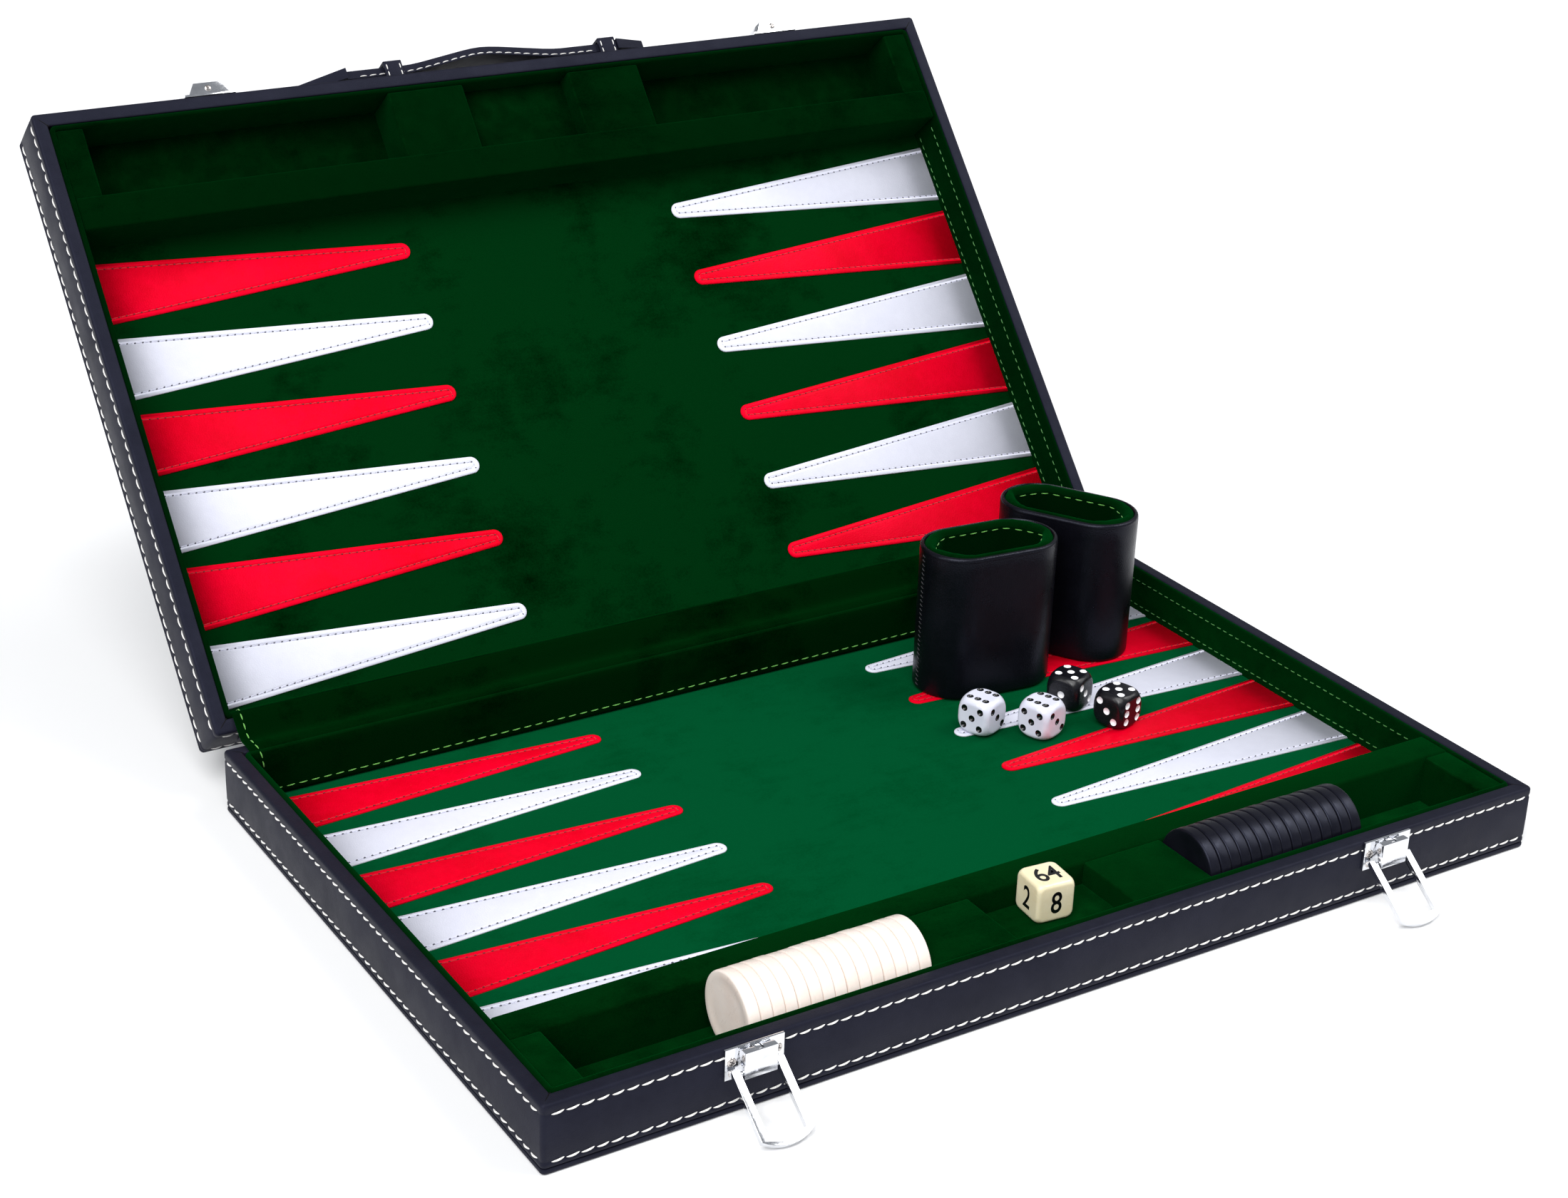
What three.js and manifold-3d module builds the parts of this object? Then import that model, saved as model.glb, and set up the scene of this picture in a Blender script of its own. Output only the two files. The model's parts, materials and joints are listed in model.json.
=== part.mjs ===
// A folding backgammon set: a hinged attache case in two halves whose velour insides are the board,
// with wire-loop latches, a sliding strap handle, two dice cups, four dice, a doubling cube and
// thirty checkers. Millimetres, +Z up. The origin is the centre of the base's underside; X runs
// along the hinge, Y from the latches (-Y) to the hinge (+Y).
import * as THREE from 'three';
import { mergeVertices } from 'three/addons/utils/BufferGeometryUtils.js';
import Module from 'manifold-3d';

const wasm = await Module();
wasm.setup();

// ---- driving dimensions -------------------------------------------------------------------------
const caseLength = 450; // along the hinge
const caseDepth = 278.5; // latch side to hinge side, one half
const halfHeight = 27.6; // one half, outer panel to rim
const cornerRadius = 3;
const insideCornerRadius = 0.2; // velour boards meet square
const wall = 6; // leather-covered walls
const panelThickness = 3.6; // outer panel
const linerThickness = 2.1; // velour-covered wall boards
const fitGap = 0.3; // between pieces that touch
const restGap = 0.1; // under pieces that only stand there
const closedGap = 0.3; // between the two rims when shut
const flapThickness = 0.9; // velour lip over the hinge-side rim

const boardThickness = 2.8; // velour-covered board of the playing field
const pointThickness = 0.5; // leather points on the velour
const pointsPerSide = 6;
const pointFill = 5 / 6; // wide end of a point, as a share of its row
const pointTipRadius = 3.6;
const pointTipFromCentre = 68;
const rowMarginRear = 2.2; // velour behind the last row and in front of the first
const rowMarginFront = 4.1;

const checkerDiameter = 31;
const checkerThickness = 5;
const checkersPerRow = 15;
const checkerSlack = 0.1; // from checker to checker
const traySlack = 0.6; // across the tray
const dividerThickness = 15;
const trayFloorLevel = 7;
const endBlockLength = 12;
const middleBlockInner = 27; // half length of the doubling-cube recess
const middleBlockOuter = 64;
const cubeRecessDepth = 9.5;

const hingeSetback = 3.9; // hinge line behind the rear walls
const lidOpenDegrees = 130.6; // 0 = shut
const spineWidth = 11.5; // leather hinge leaf, up each rear wall
const spineThickness = 1.2;
const spineEndInset = 12;

const latchFromCentre = 144.7;
const latchPlate = { width: 23.5, height: 12.2, thickness: 1 };
const latchTopBelowRim = 0.3;
const leverWidth = 12.9;
const leverPinOut = 2.2; // pin line in front of the plate
const leverPinBelowTop = 2.1;
const leverBackReach = 1.9; // back and top of the lever from its pin line
const leverFrontReach = 2.3;
const leverDrop = 9.3;
const leverSlot = 3.2;
const loopPivotOut = 0.4; // from the lever's pin line
const loopPivotDrop = 7.1;
const loopLength = 28.3;
const loopWidth = 21;
const loopBar = 3.1;
const loopThickness = 2.4;
const loopEndSagitta = 3.6;
const tableClearance = 0.05;

const catchPlate = { width: 23.5, height: 13, thickness: 1 };
const catchBelowRim = 0.8;
const catchHood = { foot: 19, crest: 12, height: 5.6, start: 1.2, length: 11.6 };

const handleWidth = 14;
const handleThickness = 4;
const handleLift = 2.6; // strap's underside above the wall
const handleBow = 5;
const keeperFromCentre = 55;
const keeperLength = 9;
const keeperWall = 1.5;
const handleHeadOverhang = 2.6; // each side, past the strap
// Each head's tip: half its breadth, its thickness and how far it droops below the strap.
const nearHead = { length: 16, tipHalf: 4.5, tip: 3.8, droop: -0.6 };
const farHead = { length: 28, tipHalf: 1.5, tip: 3, droop: 2.3 };
const handleTravel = 18;

const cup = { length: 64.5, width: 36.5, height: 68, wall: 2.6, floor: 3 };
const rearCup = { turn: -58.7, fromSideLiner: 26.8, fromRearLiner: 4.5 };
const frontCup = { turn: -5.5, besideRear: -0.857, beforeRear: -0.231 }; // in cup lengths
const dieEdge = 16;
const dieTrim = 0.67; // ball that trims the corners, as a share of the edge
const diceBeforeCup = 32.4; // from the front cup to the line the dice lie about
// Each die's place on that line is in die edges from the front cup's middle.
const diePlaces = [
  { name: 'die_white_left', x: -1.81, y: 0.59, turn: 21, colour: 'ivory' },
  { name: 'die_white_right', x: -0.51, y: -0.36, turn: 19, colour: 'ivory' },
  { name: 'die_black_rear', x: 1.17, y: 0.61, turn: 24, colour: 'jet' },
  { name: 'die_black_front', x: 1.69, y: -0.84, turn: 16, colour: 'jet' },
];
const doublingCubeEdge = 16.2;
const doublingCubeTrim = 0.778;
const doublingCubePlace = { x: 1.9, fromDivider: 8.9, turn: -5 };

// ---- derived levels -----------------------------------------------------------------------------
const halfLength = caseLength / 2;
const halfDepth = caseDepth / 2;
const insertBottom = panelThickness + fitGap;
const floorLevel = insertBottom + boardThickness;
const linerFace = wall + fitGap + linerThickness; // inner velour face, in from the outside
const innerX = halfLength - linerFace; // half length of the velour inside
const frontFace = -halfDepth + linerFace;
const dividerFront = frontFace + checkerDiameter + traySlack;
const dividerBack = dividerFront + dividerThickness;
const rearFace = halfDepth - linerFace;
const trayMiddle = (frontFace + dividerFront) / 2;
const boardTop = floorLevel + pointThickness;
const rowPitch = (rearFace - rowMarginRear - dividerBack - rowMarginFront) / pointsPerSide;

// ---- materials ----------------------------------------------------------------------------------
const finish = (color, roughness, metalness = 0) => new THREE.MeshStandardMaterial({ color, roughness, metalness });
const materials = {
  leather: finish(0x1b1b21, 0.5),
  velour: finish(0x06401c, 0.95),
  chrome: finish(0xe2e4e8, 0.12, 1),
  ivory: finish(0xf0e8d8, 0.35),
  cream: finish(0xeadfae, 0.35),
  jet: finish(0x141417, 0.35),
};

// ---- solid helpers ------------------------------------------------------------------------------
function toSolid(geometry) {
  const bare = geometry.index ? geometry.clone() : geometry;
  bare.deleteAttribute('normal');
  bare.deleteAttribute('uv');
  const merged = mergeVertices(bare, 1e-4);
  const mesh = new wasm.Mesh({
    numProp: 3,
    vertProperties: new Float32Array(merged.attributes.position.array),
    triVerts: new Uint32Array(merged.index.array),
  });
  mesh.merge();
  return new wasm.Manifold(mesh);
}

function toGeometry(solid) {
  const mesh = solid.getMesh();
  const geometry = new THREE.BufferGeometry();
  geometry.setAttribute('position', new THREE.BufferAttribute(new Float32Array(mesh.vertProperties), 3));
  geometry.setIndex(new THREE.BufferAttribute(new Uint32Array(mesh.triVerts), 1));
  geometry.computeVertexNormals();
  return geometry;
}

const join = (...pieces) => pieces.map(toSolid).reduce((whole, piece) => whole.add(piece));
const cut = (solid, ...tools) => tools.map(toSolid).reduce((left, tool) => left.subtract(tool), solid);

function block(x0, x1, y0, y1, z0, z1) {
  const geometry = new THREE.BoxGeometry(x1 - x0, y1 - y0, z1 - z0);
  return geometry.translate((x0 + x1) / 2, (y0 + y1) / 2, (z0 + z1) / 2);
}

function roundedOutline(length, depth, radius) {
  const [a, b] = [length / 2, depth / 2];
  const outline = new THREE.Shape();
  outline.absarc(a - radius, b - radius, radius, 0, Math.PI / 2);
  outline.absarc(-a + radius, b - radius, radius, Math.PI / 2, Math.PI);
  outline.absarc(-a + radius, -b + radius, radius, Math.PI, 1.5 * Math.PI);
  outline.absarc(a - radius, -b + radius, radius, 1.5 * Math.PI, 2 * Math.PI);
  return outline;
}

function upright(outline, z0, z1, curveSegments = 4) {
  const geometry = new THREE.ExtrudeGeometry(outline, { depth: z1 - z0, bevelEnabled: false, curveSegments });
  return geometry.translate(0, 0, z0);
}

// An outline drawn in (Y, Z), carried along X.
function alongX(outline, x0, x1, curveSegments = 6) {
  const geometry = new THREE.ExtrudeGeometry(outline, { depth: x1 - x0, bevelEnabled: false, curveSegments });
  const turned = new THREE.Matrix4().makeBasis(
    new THREE.Vector3(0, 1, 0),
    new THREE.Vector3(0, 0, 1),
    new THREE.Vector3(1, 0, 0),
  );
  return geometry.applyMatrix4(turned).translate(x0, 0, 0);
}

const rodAlongX = (radius, x0, x1, y = 0, z = 0, sides = 16) => new THREE.CylinderGeometry(radius, radius, x1 - x0, sides)
  .rotateZ(Math.PI / 2)
  .translate((x0 + x1) / 2, y, z);

function piece(name, shape, material) {
  const geometry = shape instanceof THREE.BufferGeometry ? shape : toGeometry(shape);
  const mesh = new THREE.Mesh(geometry, materials[material]);
  mesh.name = name;
  return mesh;
}

function placed(child, x, y, z, turnDegrees = 0) {
  child.position.set(x, y, z);
  child.rotation.z = THREE.MathUtils.degToRad(turnDegrees);
  return child;
}

// ---- one half of the case, outer panel down, hinge side at +Y ------------------------------------
function framePiece(name) {
  const outer = roundedOutline(caseLength, caseDepth, cornerRadius);
  outer.holes.push(roundedOutline(caseLength - 2 * wall, caseDepth - 2 * wall, cornerRadius / 2));
  const walls = toSolid(upright(outer, insertBottom, halfHeight));
  const lipTop = halfHeight - flapThickness - fitGap;
  const reach = halfLength - wall;
  const hingeSideStep = block(-reach, reach, halfDepth - wall - 1, halfDepth + 1, lipTop, halfHeight + 1);
  return piece(name, cut(walls, hingeSideStep), 'leather');
}

function linerPiece(name) {
  const outside = wall + fitGap;
  const ring = roundedOutline(caseLength - 2 * outside, caseDepth - 2 * outside, cornerRadius / 2);
  ring.holes.push(roundedOutline(2 * innerX, caseDepth - 2 * linerFace, insideCornerRadius));
  const reach = halfLength - outside;
  const lip = block(-reach, reach, rearFace, halfDepth, halfHeight - flapThickness, halfHeight);
  return piece(name, join(upright(ring, insertBottom, halfHeight), lip), 'velour');
}

// A point of the board, its wide end against the side liner and its tip towards the middle.
function pointOutline(side, y) {
  const wide = innerX - 2 * fitGap;
  const tipCentre = pointTipFromCentre + pointTipRadius;
  const outline = new THREE.Shape();
  const half = (side * rowPitch * pointFill) / 2;
  outline.moveTo(side * wide, y - half);
  outline.lineTo(side * wide, y + half);
  const start = side > 0 ? Math.PI / 2 : -Math.PI / 2;
  outline.absarc(side * tipCentre, y, pointTipRadius, start, start + Math.PI, false);
  outline.closePath();
  return outline;
}

function fieldPiece(name) {
  const reach = innerX - fitGap;
  const board = block(-reach, reach, dividerBack + fitGap, rearFace - fitGap, insertBottom, floorLevel);
  const points = [];
  for (const side of [-1, 1]) {
    for (let row = 0; row < pointsPerSide; row += 1) {
      const y = rearFace - rowMarginRear - (row + 0.5) * rowPitch;
      points.push(upright(pointOutline(side, y), floorLevel - pointThickness, boardTop, 3));
    }
  }
  return piece(name, join(board, ...points), 'velour');
}

function trayPiece(name) {
  const reach = innerX - fitGap;
  const [front, back] = [frontFace + fitGap, dividerBack];
  const recessFloor = halfHeight - cubeRecessDepth;
  const insert = toSolid(block(-reach, reach, front, back, insertBottom, halfHeight));
  const inner = dividerFront;
  const store = (x0, x1, level) => block(x0, x1, front - 1, inner, level, halfHeight + 1);
  const storeEnd = innerX - endBlockLength;
  return piece(
    name,
    cut(
      insert,
      store(-storeEnd, -middleBlockOuter, trayFloorLevel),
      store(-middleBlockInner, middleBlockInner, recessFloor),
      store(middleBlockOuter, storeEnd, trayFloorLevel),
    ),
    'velour',
  );
}

// The hinge leaf: a strip of the spine's leather up the rear wall, with a rolled edge at the fold.
function spinePiece(name) {
  const face = halfDepth + fitGap;
  const top = halfHeight - flapThickness;
  const strip = new THREE.Shape();
  strip.moveTo(face, top - spineWidth);
  strip.lineTo(face + spineThickness, top - spineWidth);
  strip.lineTo(face + spineThickness, top - spineThickness);
  strip.absarc(face + spineThickness, top, spineThickness, -Math.PI / 2, Math.PI / 2, false);
  strip.lineTo(face, top + spineThickness);
  strip.closePath();
  const reach = halfLength - spineEndInset;
  return piece(name, alongX(strip, -reach, reach, 3), 'leather');
}

function caseHalf(prefix) {
  const half = new THREE.Group();
  const panel = upright(roundedOutline(caseLength, caseDepth, cornerRadius), 0, panelThickness);
  half.add(
    piece(`${prefix}_panel`, panel, 'leather'),
    framePiece(`${prefix}_frame`),
    linerPiece(`${prefix}_liner`),
    fieldPiece(`${prefix}_playing_field`),
    trayPiece(`${prefix}_tray_insert`),
    spinePiece(`hinge_leaf_${prefix}`),
  );
  return half;
}

// ---- latches, on the base's front wall: local Y points out of the wall when negative --------------
const plateFace = -(halfDepth + fitGap + latchPlate.thickness);
const leverPin = {
  y: plateFace - leverPinOut,
  z: halfHeight - latchTopBelowRim - leverPinBelowTop,
};
const loopPivot = { y: leverPin.y - loopPivotOut, z: leverPin.z - loopPivotDrop };
const pinRadius = 0.6;
const pinClearance = 0.25;
const trunnionRadius = 0.9;

function latchPlatePiece(name) {
  const top = halfHeight - latchTopBelowRim;
  const back = plateFace + latchPlate.thickness;
  const reach = latchPlate.width / 2;
  const plate = block(-reach, reach, plateFace, back, top - latchPlate.height, top);
  const lugWidth = leverSlot / 2 - fitGap;
  const lugRadius = pinRadius + 0.7;
  const lug = new THREE.Shape();
  lug.moveTo(plateFace + 0.2, leverPin.z - 1);
  lug.lineTo(plateFace + 0.2, leverPin.z + 1);
  lug.absarc(leverPin.y, leverPin.z, lugRadius, Math.PI / 2, 1.5 * Math.PI, false);
  lug.closePath();
  const pinReach = leverWidth / 2 - 1.5;
  return piece(
    name,
    join(
      plate,
      alongX(lug, -lugWidth, lugWidth),
      rodAlongX(pinRadius, -pinReach, pinReach, leverPin.y, leverPin.z),
    ),
    'chrome',
  );
}

function latchLeverPiece(name) {
  const { y, z } = leverPin;
  const side = new THREE.Shape();
  side.moveTo(y + leverBackReach, z - leverDrop);
  side.absarc(y, z, leverBackReach, 0, Math.PI / 2, false);
  side.lineTo(y - leverFrontReach, z + leverBackReach);
  side.lineTo(y - leverFrontReach, z - leverDrop + 0.8);
  side.lineTo(y - leverFrontReach + 0.8, z - leverDrop);
  side.closePath();
  const reach = leverWidth / 2;
  const slotHalf = leverSlot / 2;
  const slotFront = y - leverFrontReach + 0.8;
  const holeReach = reach - 1.2;
  const lever = cut(
    toSolid(alongX(side, -reach, reach)),
    block(-slotHalf, slotHalf, slotFront, y + leverBackReach + 1, z - 1.7, z + leverBackReach + 1),
    rodAlongX(pinRadius + pinClearance, -holeReach, holeReach, y, z),
    rodAlongX(trunnionRadius + pinClearance, reach - 1.3, reach + 1, loopPivot.y, loopPivot.z),
    rodAlongX(trunnionRadius + pinClearance, -reach - 1, -reach + 1.3, loopPivot.y, loopPivot.z),
  );
  return piece(name, lever, 'chrome');
}

// The wire loop hangs from its trunnions and leans out until its end meets the table.
function latchLoopPiece(name) {
  const outer = loopWidth / 2;
  const inner = outer - loopBar;
  const endRadius = (outer * outer + loopEndSagitta * loopEndSagitta) / (2 * loopEndSagitta);
  const endCentre = -loopLength + endRadius;
  const spread = Math.asin(outer / endRadius);
  const legTop = loopBar / 2;
  const bar = new THREE.Shape();
  bar.moveTo(-inner, legTop);
  bar.lineTo(-outer, legTop);
  bar.absarc(0, endCentre, endRadius, -Math.PI / 2 - spread, -Math.PI / 2 + spread, false);
  bar.lineTo(outer, legTop);
  bar.lineTo(inner, legTop);
  bar.lineTo(inner, -loopLength + loopBar + 1);
  bar.lineTo(-inner, -loopLength + loopBar + 1);
  bar.closePath();
  const flat = upright(bar, -loopThickness / 2, loopThickness / 2, 5);
  const tip = leverWidth / 2 - 0.9;
  const loop = join(
    flat,
    rodAlongX(trunnionRadius, tip, inner + 0.5),
    rodAlongX(trunnionRadius, -inner - 0.5, -tip),
  );
  const mesh = piece(name, loop, 'chrome');
  const half = loopThickness / 2;
  const reach = Math.hypot(loopLength, half);
  const lean = Math.atan2(half, loopLength) + Math.acos((loopPivot.z - tableClearance) / reach);
  mesh.position.set(0, loopPivot.y, loopPivot.z);
  mesh.rotation.x = Math.PI / 2 - lean;
  return mesh;
}

function latch(side, x) {
  const group = new THREE.Group();
  group.add(
    latchPlatePiece(`latch_plate_${side}`),
    latchLeverPiece(`latch_lever_${side}`),
    latchLoopPiece(`latch_loop_${side}`),
  );
  group.position.x = x;
  return group;
}

// ---- catches and handle, on the lid's free wall (-Y of its own frame) ----------------------------
const lidWallFace = -(halfDepth + fitGap);

function catchPiece(name, x) {
  const top = halfHeight - catchBelowRim;
  const reach = catchPlate.width / 2;
  const out = lidWallFace - catchPlate.thickness;
  const plate = block(-reach, reach, out, lidWallFace, top - catchPlate.height, top);
  const hood = new THREE.Shape();
  hood.moveTo(-catchHood.foot / 2, -0.2);
  hood.lineTo(catchHood.foot / 2, -0.2);
  hood.lineTo(catchHood.crest / 2, catchHood.height);
  hood.lineTo(-catchHood.crest / 2, catchHood.height);
  hood.closePath();
  const start = top - catchHood.start;
  const raised = upright(hood, 0, catchHood.length).rotateX(Math.PI).translate(0, out, start);
  const mesh = piece(name, join(plate, raised), 'chrome');
  mesh.position.x = x;
  return mesh;
}

const handleLine = halfHeight / 2;
const strapUnder = lidWallFace - handleLift;

// The strap is drawn slid to one end of its travel, one head against its keeper.
function handleStrapPiece() {
  const nearEar = -(keeperFromCentre + keeperLength / 2 + 2 * fitGap);
  const farEar = handleTravel - nearEar;
  const bowStart = -(keeperFromCentre - keeperLength / 2) + handleTravel + 1;
  const bowEnd = keeperFromCentre - keeperLength / 2 - 1;
  const middle = (bowStart + bowEnd) / 2;
  const ease = (bowEnd - bowStart) / 8;
  // Seen from the side: X along the wall, Y away from it.
  const side = new THREE.Shape();
  const bow = (level, from, to) => {
    const step = Math.sign(to - from) * ease;
    const crest = level + handleBow;
    side.lineTo(from, level);
    side.bezierCurveTo(from + step, level, middle - step, crest, middle, crest);
    side.bezierCurveTo(middle + step, crest, to - step, level, to, level);
  };
  side.moveTo(nearEar - 1, 0);
  bow(0, bowStart, bowEnd);
  side.lineTo(farEar + 1, 0);
  side.lineTo(farEar + 1, handleThickness);
  bow(handleThickness, bowEnd, bowStart);
  side.lineTo(nearEar - 1, handleThickness);
  side.closePath();
  const strap = upright(side, -handleWidth / 2, handleWidth / 2, 8).rotateX(Math.PI);

  // Each head narrows to its tip, seen from outside and from the side.
  const earHalf = handleWidth / 2 + handleHeadOverhang;
  const head = (ear, way, shape) => {
    const tip = ear + way * shape.length;
    const plan = new THREE.Shape();
    plan.moveTo(ear, -earHalf);
    plan.lineTo(ear, earHalf);
    plan.lineTo(tip, shape.tipHalf);
    plan.lineTo(tip, -shape.tipHalf);
    plan.closePath();
    const section = new THREE.Shape();
    section.moveTo(ear, -0.4);
    section.lineTo(ear, handleThickness + 0.8);
    section.lineTo(tip, shape.tip - shape.droop);
    section.lineTo(tip, -shape.droop);
    section.closePath();
    const arrow = toSolid(upright(plan, -handleLift, 2 * handleThickness).rotateX(Math.PI / 2));
    return arrow.intersect(toSolid(upright(section, -2 * earHalf, 2 * earHalf).rotateX(Math.PI)));
  };
  const handle = toSolid(strap)
    .add(head(nearEar, -1, nearHead))
    .add(head(farEar, 1, farHead));
  const mesh = piece('handle_strap', handle, 'leather');
  mesh.position.set(0, strapUnder, handleLine);
  return mesh;
}

function keeperPiece(name, x) {
  const inside = handleWidth / 2 + 2 * fitGap;
  const outside = inside + keeperWall;
  const crown = handleLift + handleThickness + 2 * fitGap;
  const arch = block(
    -keeperLength / 2,
    keeperLength / 2,
    lidWallFace - crown - keeperWall,
    lidWallFace,
    handleLine - outside,
    handleLine + outside,
  );
  const way = block(
    -keeperLength,
    keeperLength,
    lidWallFace - crown,
    lidWallFace + 1,
    handleLine - inside,
    handleLine + inside,
  );
  const mesh = piece(name, cut(toSolid(arch), way), 'leather');
  mesh.position.x = x;
  return mesh;
}

// ---- loose pieces --------------------------------------------------------------------------------
function ovalOutline(length, width) {
  return roundedOutline(length, width, width / 2 - 0.01);
}

// Half the room that a turned oval cup takes along X and along Y.
function cupReach(turnDegrees) {
  const turn = THREE.MathUtils.degToRad(turnDegrees);
  const straight = (cup.length - cup.width) / 2;
  return {
    x: straight * Math.abs(Math.cos(turn)) + cup.width / 2,
    y: straight * Math.abs(Math.sin(turn)) + cup.width / 2,
  };
}

const rearCupPlace = {
  x: innerX - rearCup.fromSideLiner - cupReach(rearCup.turn).x,
  y: rearFace - rearCup.fromRearLiner - cupReach(rearCup.turn).y,
};
const frontCupPlace = {
  x: rearCupPlace.x + frontCup.besideRear * cup.length,
  y: rearCupPlace.y + frontCup.beforeRear * cup.length,
};

function cupPiece(name, place, turn) {
  const { length, width, height, wall: side, floor } = cup;
  const shell = cut(
    toSolid(upright(ovalOutline(length, width), 0, height, 8)),
    upright(ovalOutline(length - 2 * side, width - 2 * side), floor, height + 1, 8),
  );
  return placed(piece(name, shell, 'leather'), place.x, place.y, boardTop + restGap, turn);
}

function trimmedCube(name, edge, trim, material) {
  const cube = toSolid(new THREE.BoxGeometry(edge, edge, edge));
  return piece(name, cube.intersect(toSolid(new THREE.SphereGeometry(trim * edge, 20, 14))), material);
}

function diePiece(place) {
  const die = trimmedCube(place.name, dieEdge, dieTrim, place.colour);
  const x = frontCupPlace.x + place.x * dieEdge;
  const y = frontCupPlace.y - cup.width / 2 - diceBeforeCup + place.y * dieEdge;
  return placed(die, x, y, boardTop + restGap + dieEdge / 2, place.turn);
}

function doublingCubePiece() {
  const cube = trimmedCube('doubling_cube', doublingCubeEdge, doublingCubeTrim, 'cream');
  const level = halfHeight - cubeRecessDepth + restGap + doublingCubeEdge / 2;
  const { x, fromDivider, turn } = doublingCubePlace;
  return placed(cube, x, dividerFront - fromDivider, level, turn);
}

function checkerRow(colour, side, material) {
  const row = new THREE.Group();
  for (let i = 0; i < checkersPerRow; i += 1) {
    const disc = rodAlongX(checkerDiameter / 2, -checkerThickness / 2, checkerThickness / 2, 0, 0, 24);
    const checker = piece(`checker_${colour}_${String(i + 1).padStart(2, '0')}`, disc, material);
    const along = checkerThickness / 2 + i * (checkerThickness + checkerSlack);
    const x = side * (middleBlockOuter + fitGap + along);
    row.add(placed(checker, x, trayMiddle, trayFloorLevel + restGap + checkerDiameter / 2));
  }
  return row;
}

// ---- the set -------------------------------------------------------------------------------------
const set = new THREE.Group();

const base = caseHalf('base');
base.add(latch('left', -latchFromCentre), latch('right', latchFromCentre));
set.add(base);

const lidHalf = caseHalf('lid');
lidHalf.add(
  catchPiece('latch_catch_left', latchFromCentre),
  catchPiece('latch_catch_right', -latchFromCentre),
  handleStrapPiece(),
  keeperPiece('handle_keeper_left', keeperFromCentre),
  keeperPiece('handle_keeper_right', -keeperFromCentre),
);
// Laid open flat, the lid is the base turned half a turn about the vertical through the hinge line.
const rimPlane = halfHeight + closedGap / 2;
lidHalf.rotation.z = Math.PI;
lidHalf.position.set(0, hingeSetback + halfDepth, -rimPlane);
const lid = new THREE.Group();
lid.add(lidHalf);
lid.position.set(0, halfDepth + hingeSetback, rimPlane);
lid.rotation.x = THREE.MathUtils.degToRad(180 - lidOpenDegrees);
set.add(lid);

set.add(cupPiece('dice_cup_front', frontCupPlace, frontCup.turn));
set.add(cupPiece('dice_cup_rear', rearCupPlace, rearCup.turn));
for (const place of diePlaces) set.add(diePiece(place));
set.add(doublingCubePiece());
set.add(checkerRow('white', -1, 'ivory'), checkerRow('black', 1, 'jet'));

export default set;
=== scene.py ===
"""Looks of a folding backgammon set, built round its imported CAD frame. Metres, +Z up."""
import json
import math
import random

import bmesh
import bpy
import numpy as np
from mathutils import Euler, Matrix, Vector

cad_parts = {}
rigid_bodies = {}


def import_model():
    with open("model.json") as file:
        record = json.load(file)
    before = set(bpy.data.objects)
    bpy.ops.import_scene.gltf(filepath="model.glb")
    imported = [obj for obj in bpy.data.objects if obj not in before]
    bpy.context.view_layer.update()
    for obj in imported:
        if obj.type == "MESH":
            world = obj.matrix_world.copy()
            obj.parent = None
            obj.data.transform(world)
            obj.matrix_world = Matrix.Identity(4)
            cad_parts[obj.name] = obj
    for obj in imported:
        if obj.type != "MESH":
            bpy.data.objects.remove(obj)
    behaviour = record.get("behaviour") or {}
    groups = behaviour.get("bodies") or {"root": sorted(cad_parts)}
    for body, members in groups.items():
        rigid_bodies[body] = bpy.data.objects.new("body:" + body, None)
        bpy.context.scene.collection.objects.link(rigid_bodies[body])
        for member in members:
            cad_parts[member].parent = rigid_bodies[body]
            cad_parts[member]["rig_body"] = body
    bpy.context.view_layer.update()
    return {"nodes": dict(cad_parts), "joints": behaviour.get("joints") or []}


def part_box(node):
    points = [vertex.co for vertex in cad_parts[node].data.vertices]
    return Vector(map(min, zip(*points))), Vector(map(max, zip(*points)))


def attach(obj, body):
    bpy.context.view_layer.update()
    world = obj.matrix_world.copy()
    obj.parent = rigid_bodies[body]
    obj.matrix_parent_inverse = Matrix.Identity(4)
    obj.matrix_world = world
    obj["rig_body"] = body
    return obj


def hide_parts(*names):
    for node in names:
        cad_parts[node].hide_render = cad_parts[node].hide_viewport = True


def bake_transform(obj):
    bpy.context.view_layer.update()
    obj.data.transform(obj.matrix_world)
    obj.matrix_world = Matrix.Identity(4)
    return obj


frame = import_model()
MM = 0.001
SIDES = (-1, 1)
rng = random.Random(7)

# ---- sizes, in millimetres, most of them from the frame ----
JOINTS = {joint["name"]: joint for joint in frame["joints"]}


def span(node):
    """The node's lowest and highest corners in millimetres."""
    low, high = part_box(node)
    return low / MM, high / MM


HINGE = Vector(JOINTS["lid_hinge"]["pos_m"]) / MM
LID_OPEN = 130.6
HALF_X, HALF_Y, RIM = span("base_frame")[1]
WALL, WALL_FOOT = 6.0, 4.5
CASE_CORNER, SQUARE_CORNER = 1.9, 0.25

LINER_OUT, LINER_THICK = HALF_X - span("base_liner")[1].x, 2.1
LINER_IN = LINER_OUT + LINER_THICK
INNER_X = HALF_X - LINER_IN

field_low, field_high = span("base_playing_field")
FIELD_FRONT, FIELD_REAR = field_low.y, field_high.y
FIELD_TOP = field_high.z - 0.5
FRONT, REAR = FIELD_FRONT - 0.3, FIELD_REAR + 0.3

tray_low, tray_high = span("base_tray_insert")
TRAY_FRONT, TRAY_BACK, TRAY_FOOT = tray_low.y, tray_high.y, 4.2
DIVIDER = 15.0
STORE_FLOOR, RECESS_FLOOR = 7.0, RIM - 9.5
BLOCK_IN, BLOCK_OUT, END_BLOCK = 27.0, 64.0, 12.0

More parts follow.
